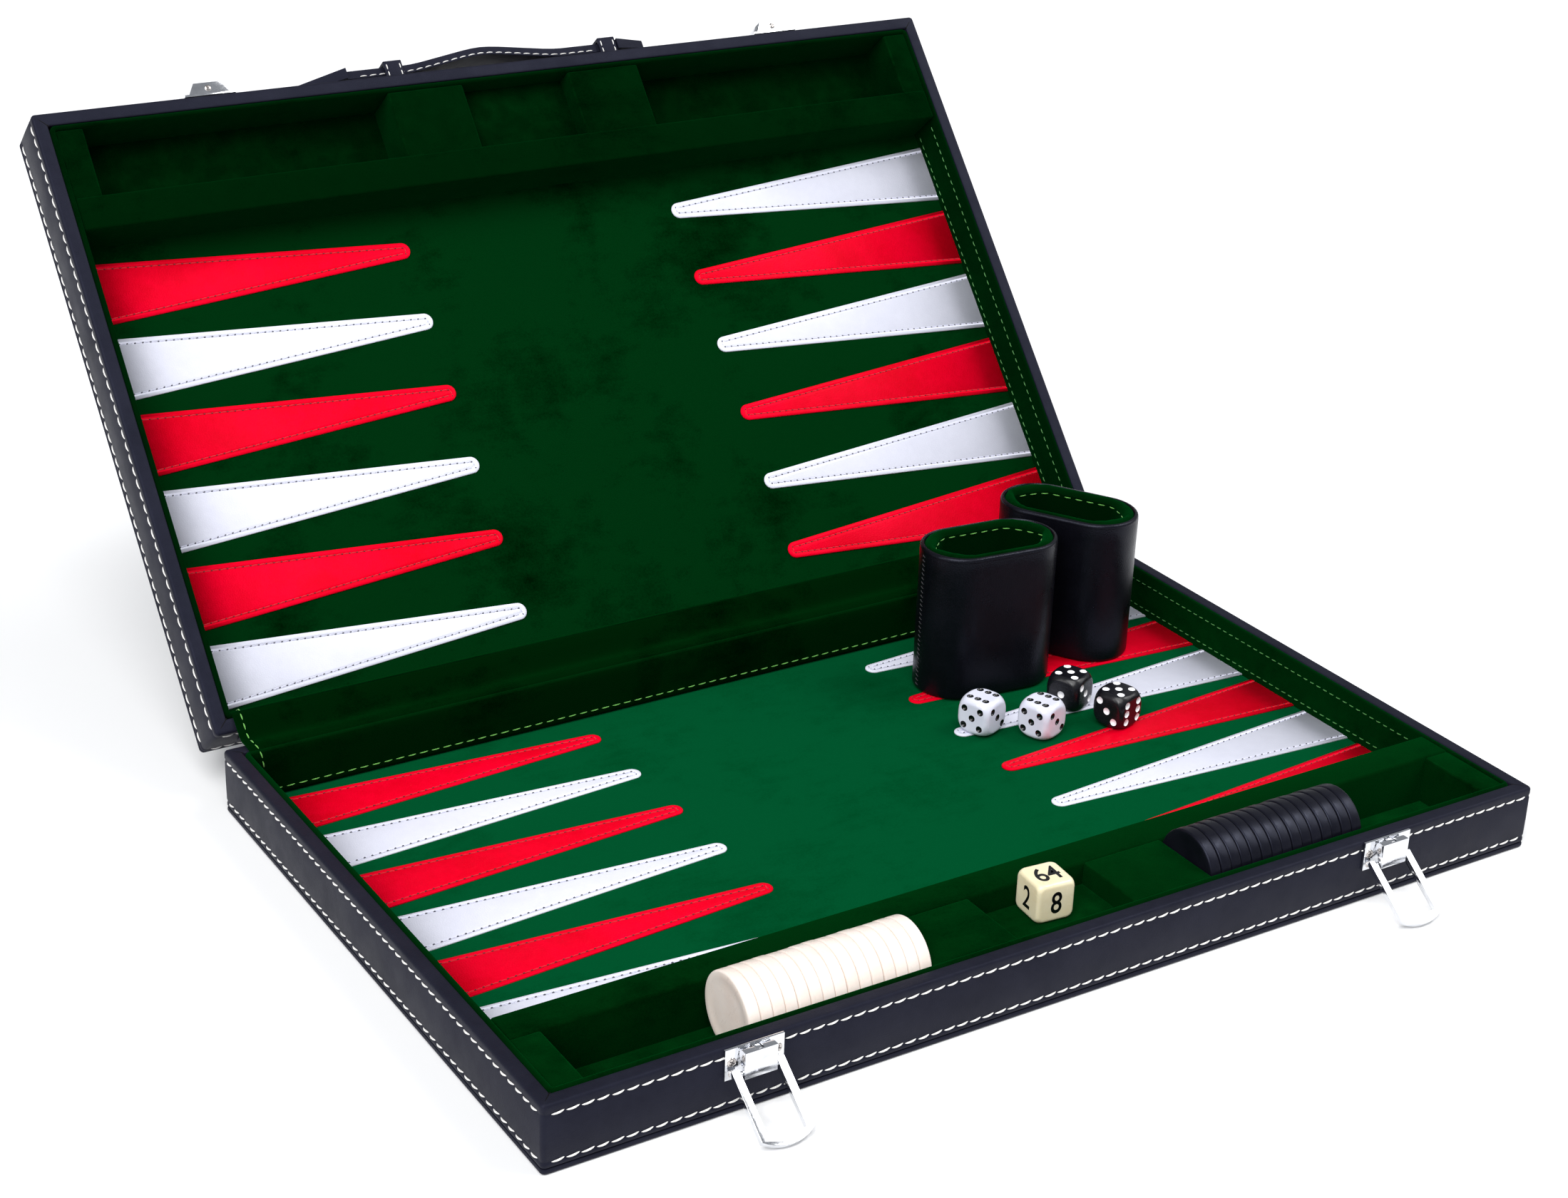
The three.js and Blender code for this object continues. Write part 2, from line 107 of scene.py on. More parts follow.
POINTS, POINT_TIP_X, POINT_TIP_R = 6, 68.0, 3.9
FRONT_GAP, REAR_GAP = 4.1, 2.2
ROW_PITCH = (REAR - REAR_GAP - FRONT - FRONT_GAP) / POINTS

base_place = Matrix.Identity(4)
lid_place = (
    Matrix.Translation(HINGE * MM)
    @ Matrix.Rotation(math.radians(180 - LID_OPEN), 4, "X")
    @ Matrix.Translation(Vector((0, HINGE.y, -HINGE.z)) * MM)
    @ Matrix.Rotation(math.pi, 4, "Z")
)


# ---- materials ----
class Shader:
    """A Principled material with a short way to add and link nodes."""

    MIX_FIRST, MIX_SECOND, MIX_COLOUR_OUT = 6, 7, 2

    def __init__(self, name, **values):
        self.material = bpy.data.materials.new(name)
        self.material.use_nodes = True
        self.tree = self.material.node_tree
        self.main = self.tree.nodes["Principled BSDF"]
        self.coords = self.add("ShaderNodeTexCoord").outputs["Object"]
        self.set(self.main, **values)

    def add(self, kind, **settings):
        node = self.tree.nodes.new(kind)
        for key, value in settings.items():
            setattr(node, key, value)
        return node

    def feed(self, socket, value):
        """Links an output to a socket, or sets the socket's own value."""
        if hasattr(value, "is_output"):
            self.tree.links.new(value, socket)
        else:
            socket.default_value = value

    def set(self, node, **values):
        for key, value in values.items():
            self.feed(node.inputs[key.replace("_", " ")], value)
        return node

    def stretched(self, x, y, z):
        node = self.add("ShaderNodeMapping")
        return self.set(node, Vector=self.coords, Scale=(x, y, z)).outputs["Vector"]

    def noise(self, size_mm, detail=3.0, roughness=0.55, vector=None, distortion=0.0):
        node = self.add("ShaderNodeTexNoise")
        self.set(node, Vector=vector or self.coords, Scale=1000.0 / size_mm, Detail=detail)
        return self.set(node, Roughness=roughness, Distortion=distortion).outputs["Fac"]

    def cells(self, size_mm):
        node = self.add("ShaderNodeTexVoronoi", feature="DISTANCE_TO_EDGE")
        return self.set(node, Vector=self.coords, Scale=1000.0 / size_mm).outputs["Distance"]

    def ramp(self, value, *stops):
        node = self.add("ShaderNodeValToRGB")
        self.set(node, Fac=value)
        for element, (place, colour) in zip(node.color_ramp.elements, stops):
            element.position = place
            element.color = (*colour, 1)
        return node.outputs["Color"]

    def spread(self, value, low, high, from_low=0.0, from_high=1.0):
        node = self.add("ShaderNodeMapRange")
        self.set(node, Value=value, From_Min=from_low, From_Max=from_high, To_Min=low, To_Max=high)
        return node.outputs["Result"]

    def calculate(self, operation, *values):
        node = self.add("ShaderNodeMath", operation=operation)
        for socket, value in zip(node.inputs, values):
            self.feed(socket, value)
        return node.outputs[0]

    def sum(self, first, second, second_share=1.0):
        return self.calculate("MULTIPLY_ADD", second, second_share, first)

    def bump(self, height, distance_mm, strength=1.0, onto=None):
        node = self.add("ShaderNodeBump")
        self.set(node, Height=height, Strength=strength, Distance=distance_mm * MM)
        if onto:
            self.set(node, Normal=onto)
        return node.outputs["Normal"]

    def edge_wear_and_highlight_mask(self, amount):
        """How strongly a spot takes an edge colour: pointed edges, broken up by noise. On the leather
        that colour is partly wear, partly painted highlight; on the velour it is painted highlight.
        """
        pointed = self.add("ShaderNodeNewGeometry").outputs["Pointiness"]
        edge = self.spread(pointed, 0.0, amount, 0.53, 0.62)
        patchy = self.spread(self.noise(9.0, 4.0), 0.0, 1.0, 0.4, 0.7)
        return self.calculate("MULTIPLY", edge, patchy)

    def blend(self, share, first, colour):
        node = self.set(self.add("ShaderNodeMix", data_type="RGBA"), Factor=share)
        self.feed(node.inputs[self.MIX_FIRST], first)
        self.feed(node.inputs[self.MIX_SECOND], (*colour, 1))
        return node.outputs[self.MIX_COLOUR_OUT]


def grained_leather(name, dark, light, roughness, grain_mm, depth_mm, gloss, tint=(1, 1, 1), wear_and_highlight=None):
    """Embossed leatherette: fine cells, softer undulation and uneven gloss."""
    shader = Shader(name, Specular_IOR_Level=gloss, Specular_Tint=(*tint, 1))
    mottling = shader.sum(shader.noise(28.0, 4.0), shader.noise(3.0, 2.0), 0.35)
    colour = shader.ramp(mottling, (0.45, dark), (0.95, light))
    # Lighter pointed edges: partly wear, partly a painted highlight.
    if wear_and_highlight:
        colour = shader.blend(shader.edge_wear_and_highlight_mask(0.35), colour, wear_and_highlight)
    cells = shader.spread(shader.cells(grain_mm), 0.0, 1.0, 0.0, 0.35)
    height = shader.sum(cells, shader.noise(0.35, 2.0), 0.4)
    grain = shader.bump(height, depth_mm, 0.55)
    drape = shader.bump(shader.noise(11.0, 2.0), 0.35, 0.35, grain)
    uneven = shader.sum(shader.noise(16.0, 3.0), cells, 0.15)
    rough = shader.spread(uneven, roughness - 0.06, roughness + 0.1, 0.3, 0.8)
    shader.set(shader.main, Base_Color=colour, Normal=drape, Roughness=rough)
    return shader.material


def velour(name, deep, bright, sheen_tint, sheen, patches):
    """Short cut pile: brushed patches, a fibrous surface, a soft sheen and a painted highlight on pointed
    edges.
    """
    shader = Shader(name, Roughness=1.0, Specular_IOR_Level=0.0, Sheen_Weight=sheen,
                    Sheen_Roughness=0.5, Sheen_Tint=(*sheen_tint, 1))
    pile_mm = 0.45
    brushed = shader.noise(60.0, 4.0, 0.6, distortion=0.4)
    strokes = shader.noise(6.0, 3.0, 0.6, shader.stretched(0.5, 1.0, 1.0))
    tufts = shader.noise(pile_mm * 2.4, 3.0, 0.7)
    areas = shader.spread(brushed, 0.5 - patches / 2, 0.5 + patches / 2, 0.3, 0.7)
    mixed = shader.sum(shader.sum(areas, strokes, 0.5), tufts, 0.5)
    colour = shader.ramp(mixed, (0.55, deep), (1.0, bright))
    # Pointed edges get three times the brightest tone: a painted highlight.
    colour = shader.blend(shader.edge_wear_and_highlight_mask(0.55), colour, [3.0 * c for c in bright])
    pile = shader.bump(shader.noise(pile_mm, 3.0, 0.8), 0.2, 0.7)
    shader.set(shader.main, Base_Color=colour, Normal=shader.bump(strokes, 0.5, 0.3, pile))
    return shader.material


def thread(name, colour, shade):
    """Twisted sewing thread, its tone darker where its bump is low: painted shade in the twist."""
    shader = Shader(name, Roughness=0.62, Sheen_Weight=0.3, Specular_IOR_Level=0.3)
    twist = shader.noise(0.5, 2.0, 0.6)
    # The same noise darkens the colour and lowers the bump: painted shade in the twist.
    tone = shader.ramp(twist, (0.3, shade), (0.6, colour))
    shader.set(shader.main, Base_Color=tone, Normal=shader.bump(twist, 0.08, 0.7))
    return shader.material


def moulded(name, colour, shade, roughness, scatter=0.0, scatter_tint=(1, 0.85, 0.7), gloss=0.25,
            index=1.45, tint=(1, 1, 1)):
    """Tumbled moulded plastic: faint cloudiness, uneven gloss and handling marks."""
    shader = Shader(name, Coat_Weight=gloss, Coat_Roughness=0.12, IOR=index, Specular_Tint=(*tint, 1),
                    Subsurface_Weight=scatter, Subsurface_Radius=scatter_tint, Subsurface_Scale=0.003)
    cloud = shader.sum(shader.noise(12.0, 3.0), shader.noise(1.4, 2.0), 0.2)
    tone = shader.ramp(cloud, (0.35, shade), (0.75, colour))
    marks = shader.noise(2.5, 4.0, 0.7, shader.stretched(1.0, 0.25, 1.0))
    rough = shader.spread(marks, roughness - 0.05, roughness + 0.1, 0.35, 0.7)
    shader.set(shader.main, Base_Color=tone, Roughness=rough, Normal=shader.bump(marks, 0.02, 0.4))
    return shader.material


def plated(name, colour=(0.84, 0.85, 0.88), roughness=0.07):
    """Nickel plate with polishing marks and a slightly uneven surface."""
    shader = Shader(name, Metallic=1.0)
    dull = [0.82 * c for c in colour]
    tone = shader.ramp(shader.noise(5.0, 3.0), (0.3, dull), (0.62, colour))
    polish = shader.noise(0.8, 3.0, 0.6, shader.stretched(6.0, 1.0, 1.0))
    rough = shader.spread(polish, roughness * 0.6, roughness * 2.4, 0.3, 0.75)
    ripple = shader.bump(shader.noise(3.5, 2.0), 0.05, 0.35)
    shader.set(shader.main, Base_Color=tone, Roughness=rough, Normal=ripple)
    return shader.material


# Leathers: darker and lighter tone, roughness, grain size and depth in mm, gloss and its tint.
# Its lighter edge colour is partly wear, partly a painted highlight on the rims and other pointed edges.
LEATHER = grained_leather(
    "black_leatherette", (0.0078, 0.0081, 0.0145), (0.0130, 0.0136, 0.0230),
    0.5, 0.75, 0.06, 0.16, (0.44, 0.48, 0.72), wear_and_highlight=(0.03, 0.03, 0.042))
CUP_LEATHER = grained_leather(
    "cup_leatherette", (0.0014, 0.0014, 0.0026), (0.0036, 0.0036, 0.0062),
    0.3, 1.1, 0.05, 0.24, (0.74, 0.78, 1.0))
# Near-black leather for the corner folds: painted shade.
SEAM_SHADOW = grained_leather(
    "seam_shadow", (0.002, 0.002, 0.002), (0.005, 0.005, 0.005),
    0.6, 0.75, 0.06, 0.1)
RED = grained_leather(
    "red_leatherette", (0.66, 0.0, 0.010), (0.86, 0.0, 0.022),
    0.42, 1.0, 0.07, 0.12, (1.0, 0.12, 0.3))
WHITE = grained_leather(
    "white_leatherette", (0.69, 0.70, 0.81), (0.76, 0.77, 0.88),
    0.5, 0.9, 0.04, 0.2)
# Velours: deepest and brightest tone, the sheen's tint and weight, and how strong the patches are.
FIELD_VELOUR = velour(
    "field_velour", (0.0, 0.040, 0.0095), (0.0005, 0.062, 0.0180),
    (0.0, 0.6, 0.2), 0.05, 0.5)
# A darker copy of the field's velour: painted shade on the lid's board.
SHADED_LID_VELOUR = velour(
    "lid_velour_painted_shade", (0.0, 0.0055, 0.0007), (0.0003, 0.0220, 0.0036),
    (0.0, 0.6, 0.12), 0.03, 0.7)
# A darker copy of the field's velour: painted shade on the base's liners and trays and the cups' rims.
SHADED_LINER_VELOUR = velour(
    "liner_velour_painted_shade", (0.0, 0.0032, 0.0004), (0.0003, 0.0130, 0.0018),
    (0.0, 0.9, 0.14), 0.07, 0.6)
# Darker still: painted shade on the lid's liners and trays and inside the cups.
SHADED_LID_LINER = velour(
    "lid_liner_velour", (0.0, 0.0026, 0.0004), (0.0002, 0.0085, 0.0013),
    (0.0, 0.9, 0.16), 0.05, 0.6)
# The darkest copy of the field's velour: painted shade on the hinge flap.
SHADED_FLAP_VELOUR = velour(
    "flap_velour_painted_shade", (0.0, 0.0012, 0.0001), (0.0002, 0.0080, 0.0010),
    (0.0, 0.9, 0.12), 0.05, 0.9)
WHITE_THREAD = thread("white_thread", (0.86, 0.85, 0.82), (0.6, 0.58, 0.56))
GREEN_THREAD = thread("green_thread", (0.07, 0.28, 0.06), (0.02, 0.14, 0.02))
LIME_THREAD = thread("lime_thread", (0.15, 0.44, 0.08), (0.06, 0.26, 0.03))
RED_THREAD = thread("red_thread", (0.62, 0.0, 0.012), (0.4, 0.0, 0.008))
PALE_THREAD = thread("pale_thread", (0.66, 0.67, 0.78), (0.42, 0.42, 0.54))
BLACK_THREAD = thread("black_thread", (0.012, 0.012, 0.018), (0.004, 0.004, 0.006))
# Dark grains for the needle holes: painted shade.
RED_HOLE_SHADE = thread("red_needle_hole_shade", (0.20, 0.0, 0.006), (0.10, 0.0, 0.003))
GREY_HOLE_SHADE = thread("grey_needle_hole_shade", (0.09, 0.09, 0.12), (0.04, 0.04, 0.06))
IVORY = moulded("ivory_plastic", (0.90, 0.80, 0.73), (0.84, 0.72, 0.64), 0.3, 0.12)
JET = moulded("black_plastic", (0.0055, 0.0055, 0.0095), (0.003, 0.003, 0.0055), 0.32, gloss=0.0,
              index=1.36, tint=(0.55, 0.6, 0.85))
DIE_WHITE = moulded("white_resin", (0.74, 0.75, 0.87), (0.68, 0.69, 0.82), 0.14, 0.05, (0.8, 0.8, 1))
DIE_BLACK = moulded("black_resin", (0.005, 0.005, 0.008), (0.003, 0.003, 0.005), 0.26, gloss=0.08)
CREAM = moulded("cream_resin", (0.88, 0.80, 0.56), (0.82, 0.72, 0.46), 0.22, 0.2, (1, 0.9, 0.6))
PIP_BLACK = moulded("black_paint", (0.004, 0.004, 0.005), (0.002, 0.002, 0.003), 0.12)
PIP_WHITE = moulded("white_paint", (0.9, 0.9, 0.92), (0.82, 0.82, 0.86), 0.25)
CHROME = plated("nickel_plate")
SCREW = plated("screw_plate", (0.62, 0.58, 0.55), 0.16)
DARK_METAL = plated("dark_plate", (0.12, 0.11, 0.11), 0.3)


# ---- meshes ----
class Build:
    """Vertices and faces in millimetres, gathered before they become one object."""

    def __init__(self):
        self.verts, self.faces, self.slots = [], [], []

    def add(self, verts, faces, slot=0):
        start = len(self.verts)
        self.verts.extend(verts)
        self.faces.extend(tuple(start + i for i in face) for face in faces)
        self.slots.extend([slot] * len(faces))

    def add_lid(self, loop, slot=0):
        """Closes a loop with one flat face."""
        self.add(loop, [tuple(range(len(loop)))], slot)

    def piece(self, name, materials, body=None, place=base_place, slot=None, replaces=(), smooth=40.0):
        mesh = bpy.data.meshes.new(name)
        mesh.from_pydata([tuple(c * MM for c in v) for v in self.verts], [], self.faces)
        mesh.validate()
        work = bmesh.new()
        work.from_mesh(mesh)
        bmesh.ops.remove_doubles(work, verts=work.verts, dist=1e-7)
        bmesh.ops.recalc_face_normals(work, faces=work.faces)
        work.to_mesh(mesh)
        work.free()
        if len(self.slots) == len(mesh.polygons):
            mesh.polygons.foreach_set("material_index", self.slots)
        return finished(mesh, name, materials, body, place, replaces, smooth)


def added(name, data):
    """A new object in the scene."""
    made = bpy.data.objects.new(name, data)
    bpy.context.scene.collection.objects.link(made)
    return made


def finished(mesh, name, materials, body, place, replaces, smooth):
    """A mesh as a shaded piece on its body. A piece that rides no body yet has none."""
    for material in materials if isinstance(materials, list) else [materials]:
        mesh.materials.append(material)
    made = added(name, mesh)
    made.matrix_world = place
    mesh.shade_smooth()
    if smooth is not None:
        mesh.set_sharp_from_angle(angle=math.radians(smooth))
    if body:
        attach(made, body)
    if replaces:
        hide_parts(*replaces)
    return made


def ring_loft(rings, caps=True, loop=False):
    """Verts and faces through closed rings of equally many points."""
    count, levels = len(rings[0]), len(rings)
    verts = [tuple(p) for ring in rings for p in ring]
    faces = []
    for level in range(levels if loop else levels - 1):
        a, b = level * count, (level + 1) % levels * count
        for i in range(count):
            j = (i + 1) % count
            faces.append((a + i, a + j, b + j, b + i))
    if caps:
        faces.append(tuple(range(count))[::-1])
        faces.append(tuple(range((levels - 1) * count, levels * count)))
    return verts, faces


def grid_faces(columns, rows):
    """Quads of a grid of points, given row by row."""
    width = columns + 1
    corners = [j * width + i for j in range(rows) for i in range(columns)]
    return [(a, a + 1, a + width + 1, a + width) for a in corners]


def angles(start, stop, step):
    return [math.radians(degrees) for degrees in range(start, stop, step)]


def arc(cx, cy, radius, start, end, steps=5):
    turn = [math.radians(start + (end - start) * i / steps) for i in range(steps + 1)]
    return [(cx + radius * math.cos(a), cy + radius * math.sin(a)) for a in turn]


def corner_loop(inset, radius, steps=5):
    """The case's outline as a rounded rectangle, with as many points whatever its size."""
    points = []
    for quarter, (sx, sy) in enumerate(((1, 1), (-1, 1), (-1, -1), (1, -1))):
        for step in range(steps + 1):
            angle = math.pi / 2 * (quarter + step / steps)
            x = sx * (HALF_X - inset - radius) + radius * math.cos(angle)
            y = sy * (HALF_Y - inset - radius) + radius * math.sin(angle)
            points.append((x, y))
    return points


def swept_wall(profile, radius, closed):
    """Carries (inset, height) points round the case's outline."""
    rings = []
    for inset, height in profile:
        loop = corner_loop(inset, max(radius - inset, SQUARE_CORNER))
        rings.append([(x, y, height) for x, y in loop])
    return ring_loft(rings, caps=False, loop=closed)


def soft_box(low, high, radius, segments):
    """A box with rounded edges."""
    work = bmesh.new()
    bmesh.ops.create_cube(work, size=1.0)
    size = [h - l for l, h in zip(low, high)]
    middle = [(h + l) / 2 for l, h in zip(low, high)]
    for v in work.verts:
        v.co = Vector([m + s * c for m, s, c in zip(middle, size, v.co)])
    bmesh.ops.bevel(work, geom=list(work.edges), offset=min(radius, min(size) * 0.49),
                    segments=segments, profile=0.5, affect="EDGES")
    verts = [tuple(v.co) for v in work.verts]
    faces = [tuple(v.index for v in f.verts) for f in work.faces]
    work.free()
    return verts, faces


# ---- stitches ----
WALL_STITCH = dict(pitch=5.6, length=4.9, width=0.85, lean=0.13, bend=-0.12)
POINT_STITCH = dict(pitch=3.4, length=2.4, width=0.5)
LINER_STITCH = dict(pitch=4.2, length=2.7, width=0.5, lean=0.05)
FLAP_STITCH = dict(pitch=5.4, length=3.7, width=0.55, lean=0.04)
FLAP_END_STITCH = dict(pitch=4.4, length=3.0, width=0.55, lean=0.04)
STRAP_STITCH = dict(pitch=5.2, length=3.9, width=0.6, lean=0.05, bend=-0.05)
STRAP_EDGE_STITCH = dict(pitch=4.6, length=3.5, width=0.55, lean=0.05, bend=-0.05)
KEEPER_STITCH = dict(pitch=3.4, length=2.6, width=0.55)
CUP_STITCH = dict(pitch=5.4, length=3.2, width=0.5, lean=0.03)

GRAIN_RINGS = ((-0.5, 0.12), (-0.36, 0.75), (-0.12, 1.0), (0.16, 1.0), (0.38, 0.7), (0.5, 0.12))
GRAIN_SIDES, GRAIN_ARCH, GRAIN_SUNK, GRAIN_FLATNESS = 6, 0.42, 0.12, 0.8
HOLE_PROUD, HOLE_WIDTH = 0.12, 0.55


def rice_grain(at, along, outward, length, width, lean=0.0, bend=0.0):
    """One stitch: a plump grain of thread along a direction, its ends dipping into the leather."""
    along, outward = Vector(along).normalized(), Vector(outward).normalized()
    across = outward.cross(along).normalized()
    leaned = (along + across * lean).normalized()
    side = outward.cross(leaned).normalized()
    rings = []
    for place, fullness in GRAIN_RINGS:
        curve = 1 - (2 * place) ** 2
        middle = Vector(at) + leaned * (place * length)
        middle += outward * (width * (GRAIN_ARCH * curve - GRAIN_SUNK))
        middle += side * (bend * curve)
        ring = []
        for step in range(GRAIN_SIDES):
            angle = math.tau * step / GRAIN_SIDES
            spoke = side * math.cos(angle) + outward * math.sin(angle) * GRAIN_FLATNESS
            ring.append(middle + spoke * (width / 2 * fullness))
        rings.append(ring)
    return ring_loft(rings)


def sew(build, path, outward, pitch, length, width, lean=0.0, bend=0.0, hole=None):
    """Stitches along a polyline. outward is a direction, or a function of the place.

    hole is the material slot of the dark grains between the stitches that paint the shade of the needle
    holes, where they show.
    """
    points = [Vector(p) for p in path]
    runs = [(a, b, (b - a).length) for a, b in zip(points, points[1:])]
    total = sum(reach for _, _, reach in runs)
    count = max(1, round(total / pitch))
    step = total / count
    for i in range(count):
        want, passed = (i + 0.5) * step, 0.0
        for a, b, reach in runs:
            if want <= passed + reach or b is points[-1]:
                break
            passed += reach
        direction = (b - a).normalized()
        at = a + direction * (want - passed)
        normal = outward(at) if callable(outward) else outward
        jitter = 1 + rng.uniform(-0.05, 0.05)
        tilt = lean + rng.uniform(-0.02, 0.02)
        build.add(*rice_grain(at, direction, normal, length * step / pitch * jitter, width, tilt, bend))
        # A dark grain in each gap: painted shade of a needle hole.
        if hole is not None:
            spot = at + direction * (step / 2) + Vector(normal).normalized() * HOLE_PROUD
            build.add(*rice_grain(spot, direction, normal, 0.3 * pitch, HOLE_WIDTH, 2.5 * lean), hole)


# ---- one half of the case ----
TOP_ROW, BOTTOM_ROW = RIM - 3.9, 4.9
RIM_ROUND, INNER_ROUND, FOOT_ROUND = 1.3, 0.7, 0.9
STITCH_GROOVE = ((0.0, 0.9), (0.22, 0.35), (0.26, 0.0), (0.22, -0.35), (0.0, -0.9))
PANEL_JOIN = ((0.05, 2.9), (0.25, 2.6), (0.9, 2.45), (0.9, 2.2), (0.2, 2.0), (0.0, 1.6), (0.0, 0.9))
TURNED_EDGE = ((3.0, 0.0), (6.0, 0.05), (6.6, 0.3), (7.2, 0.05), (8.0, 0.0))
MITRE_SECTION = ((-0.32, -0.25), (-0.16, 0.03), (0, 0.07), (0.16, 0.03), (0.32, -0.25))


def groove(level):
    """The shallow groove that a row of stitches pulls into the wall."""
    return [(depth, level + up) for depth, up in STITCH_GROOVE]


def wall_profile():
    """Section of a covered wall, from the inner foot over the rim and round the panel's edge."""
    points = [(WALL + 0.05, WALL_FOOT), (WALL, RIM - INNER_ROUND)]
    points += arc(WALL - INNER_ROUND, RIM - INNER_ROUND, INNER_ROUND, 0, 90, 3)[1:]
    points += [(WALL - 2.2, RIM + 0.02), (2.4, RIM)]
    points += [(RIM_ROUND - RIM_ROUND * math.sin(a), RIM - RIM_ROUND + RIM_ROUND * math.cos(a))
               for a in angles(0, 91, 15)]
    points += [*groove(TOP_ROW), (-0.06, RIM * 0.5), *groove(BOTTOM_ROW), *PANEL_JOIN]
    points += [(FOOT_ROUND - FOOT_ROUND * math.cos(a), FOOT_ROUND - FOOT_ROUND * math.sin(a))
               for a in angles(15, 91, 15)]
    return points + [*TURNED_EDGE]


def shell(name, body, place, nodes):
    """The leather covering of the walls and the outer panel."""
    build = Build()
    profile = wall_profile()
    build.add(*swept_wall(profile, CASE_CORNER, closed=False))
    for inset, level in ((profile[-1][0], 0.0), (WALL, WALL_FOOT)):
        build.add_lid([(x, y, level) for x, y in corner_loop(inset, SQUARE_CORNER)])
    build.piece(name, LEATHER, body, place, "leather", nodes)


def mitres(name, body, place):
    """Folds of the covering at the four corners, across the rim, in near-black leather: painted shade in
    the folds.
    """
    build = Build()
    for sx in SIDES:
        for sy in SIDES:
            inner = Vector((sx * (HALF_X - WALL - 0.2), sy * (HALF_Y - WALL - 0.2), RIM + 0.03))
            outer = Vector((sx * (HALF_X - RIM_ROUND), sy * (HALF_Y - RIM_ROUND), RIM - 0.12))
            across = Vector((-(outer - inner).y, (outer - inner).x, 0)).normalized()
            strip = []
            for share in (0, 0.5, 1):
                middle = inner.lerp(outer, share) + Vector((0, 0, 0.05 * math.sin(math.pi * share)))
                strip.append([middle + across * w + Vector((0, 0, h)) for w, h in MITRE_SECTION])
            build.add(*ring_loft(strip))
    build.piece(name, SEAM_SHADOW, body, place, "leather")


def wall_stitching(name, body, place):
    """Two rows of white stitches round the walls."""
    build = Build()
    reach_x, reach_y = HALF_X - 3.2, HALF_Y - 3.2
    for level in (TOP_ROW, BOTTOM_ROW):
        for sy in SIDES:
            y = sy * (HALF_Y - 0.16)
            ends = ((sy * reach_x, y, level), (-sy * reach_x, y, level))
            sew(build, ends, (0, sy, 0), **WALL_STITCH)
        for sx in SIDES:
            x = sx * (HALF_X - 0.16)
            ends = ((x, -sx * reach_y, level), (x, sx * reach_y, level))
            sew(build, ends, (sx, 0, 0), **WALL_STITCH)
    build.piece(name, WHITE_THREAD, body, place, "leather")


def liner(name, body, place, nodes, material):
    """Velour-covered boards round the inside, with soft top edges."""
    top, lip = RIM + 0.35, 1.0
    profile = [(LINER_IN, 5.5), (LINER_IN, top - lip)]
    turn = [math.radians(a) for a in (25, 50, 75, 90, 110, 135, 160)]
    profile += [(LINER_IN - lip + lip * math.cos(a), top - lip + lip * math.sin(a)) for a in turn]
    profile += [(LINER_OUT - 0.1, top - lip), (LINER_OUT - 0.1, 5.5)]
    build = Build()
    build.add(*swept_wall(profile, LINER_IN + 0.6, closed=True))
    build.piece(name, material, body, place, "velour", nodes)


def tray(name, body, place, nodes, material):
    """The divider, blocks and floors of the checker stores."""
    inner = TRAY_BACK - DIVIDER
    end_block = INNER_X - END_BLOCK
    boxes = (
        (BLOCK_IN, BLOCK_OUT, 0.2, RIM - 0.35, 0.9, 3),
        (end_block, INNER_X + 0.2, 0.2, RIM - 0.6, 0.9, 3),
        (BLOCK_OUT - 1, end_block + 1, 0.3, STORE_FLOOR, 0.3, 2),
    )
    build = Build()
    build.add(*soft_box((-INNER_X, inner, TRAY_FOOT), (INNER_X, TRAY_BACK, RIM), 1.1, 4))
    for sx in SIDES:
        for near, far, front, top, radius, segments in boxes:
            low, high = sorted((sx * near, sx * far))
            build.add(*soft_box((low, TRAY_FRONT - front, TRAY_FOOT), (high, inner + 0.6, top),
                                radius, segments))
    build.add(*soft_box((-BLOCK_IN - 1, TRAY_FRONT - 0.3, TRAY_FOOT),
                        (BLOCK_IN + 1, inner + 0.6, RECESS_FLOOR), 0.3, 2))
    build.piece(name, material, body, place, "velour", nodes)


def point_outline(side, row, inset):
    """A point of the board, drawn inset from its edge; its wide end runs under the side liner."""
    y = REAR - REAR_GAP - (row + 0.5) * ROW_PITCH
    wide = INNER_X + 0.2
    half = ROW_PITCH * 5 / 12
    slope = math.atan2(half - POINT_TIP_R, wide - POINT_TIP_X - POINT_TIP_R)
    radius = max(POINT_TIP_R - inset, 0.35)
    centre = POINT_TIP_X + POINT_TIP_R
    tip = [(centre - radius * math.cos(a), radius * math.sin(a)) for a in angles(-90, 91, 15)]
    edge = half - inset / math.cos(slope)
    return [(side * px, y + side * py) for px, py in [(wide, -edge), *tip, (wide, edge)]]


POINT_STEPS = ((0.0, -0.15), (0.0, 0.3), (0.25, 0.62), (1.3, 0.72), (2.0, 0.62), (2.5, 0.3),
               (3.0, 0.6), (3.35, 0.72))
POINT_SEAM, POINT_SEAM_RISE = 2.5, 0.42


def board(name, body, place, nodes, material):
    """The playing field's velour, with a slight cushion-like unevenness."""
    columns, rows = 44, 24
    low_y, high_y = FIELD_FRONT - 0.6, FIELD_REAR + 0.6
    verts = []
    for j in range(rows + 1):
        y = low_y + (high_y - low_y) * j / rows
        for i in range(columns + 1):
            x = -INNER_X - 0.3 + (2 * INNER_X + 0.6) * i / columns
            swell = 0.12 * math.sin(x * 0.045 + 1.3) * math.sin(y * 0.06 + 0.4)
            verts.append((x, y, FIELD_TOP + swell - 0.06))
    build = Build()
    build.add(verts, grid_faces(columns, rows))
    build.piece(name, material, body, place, "velour", nodes)


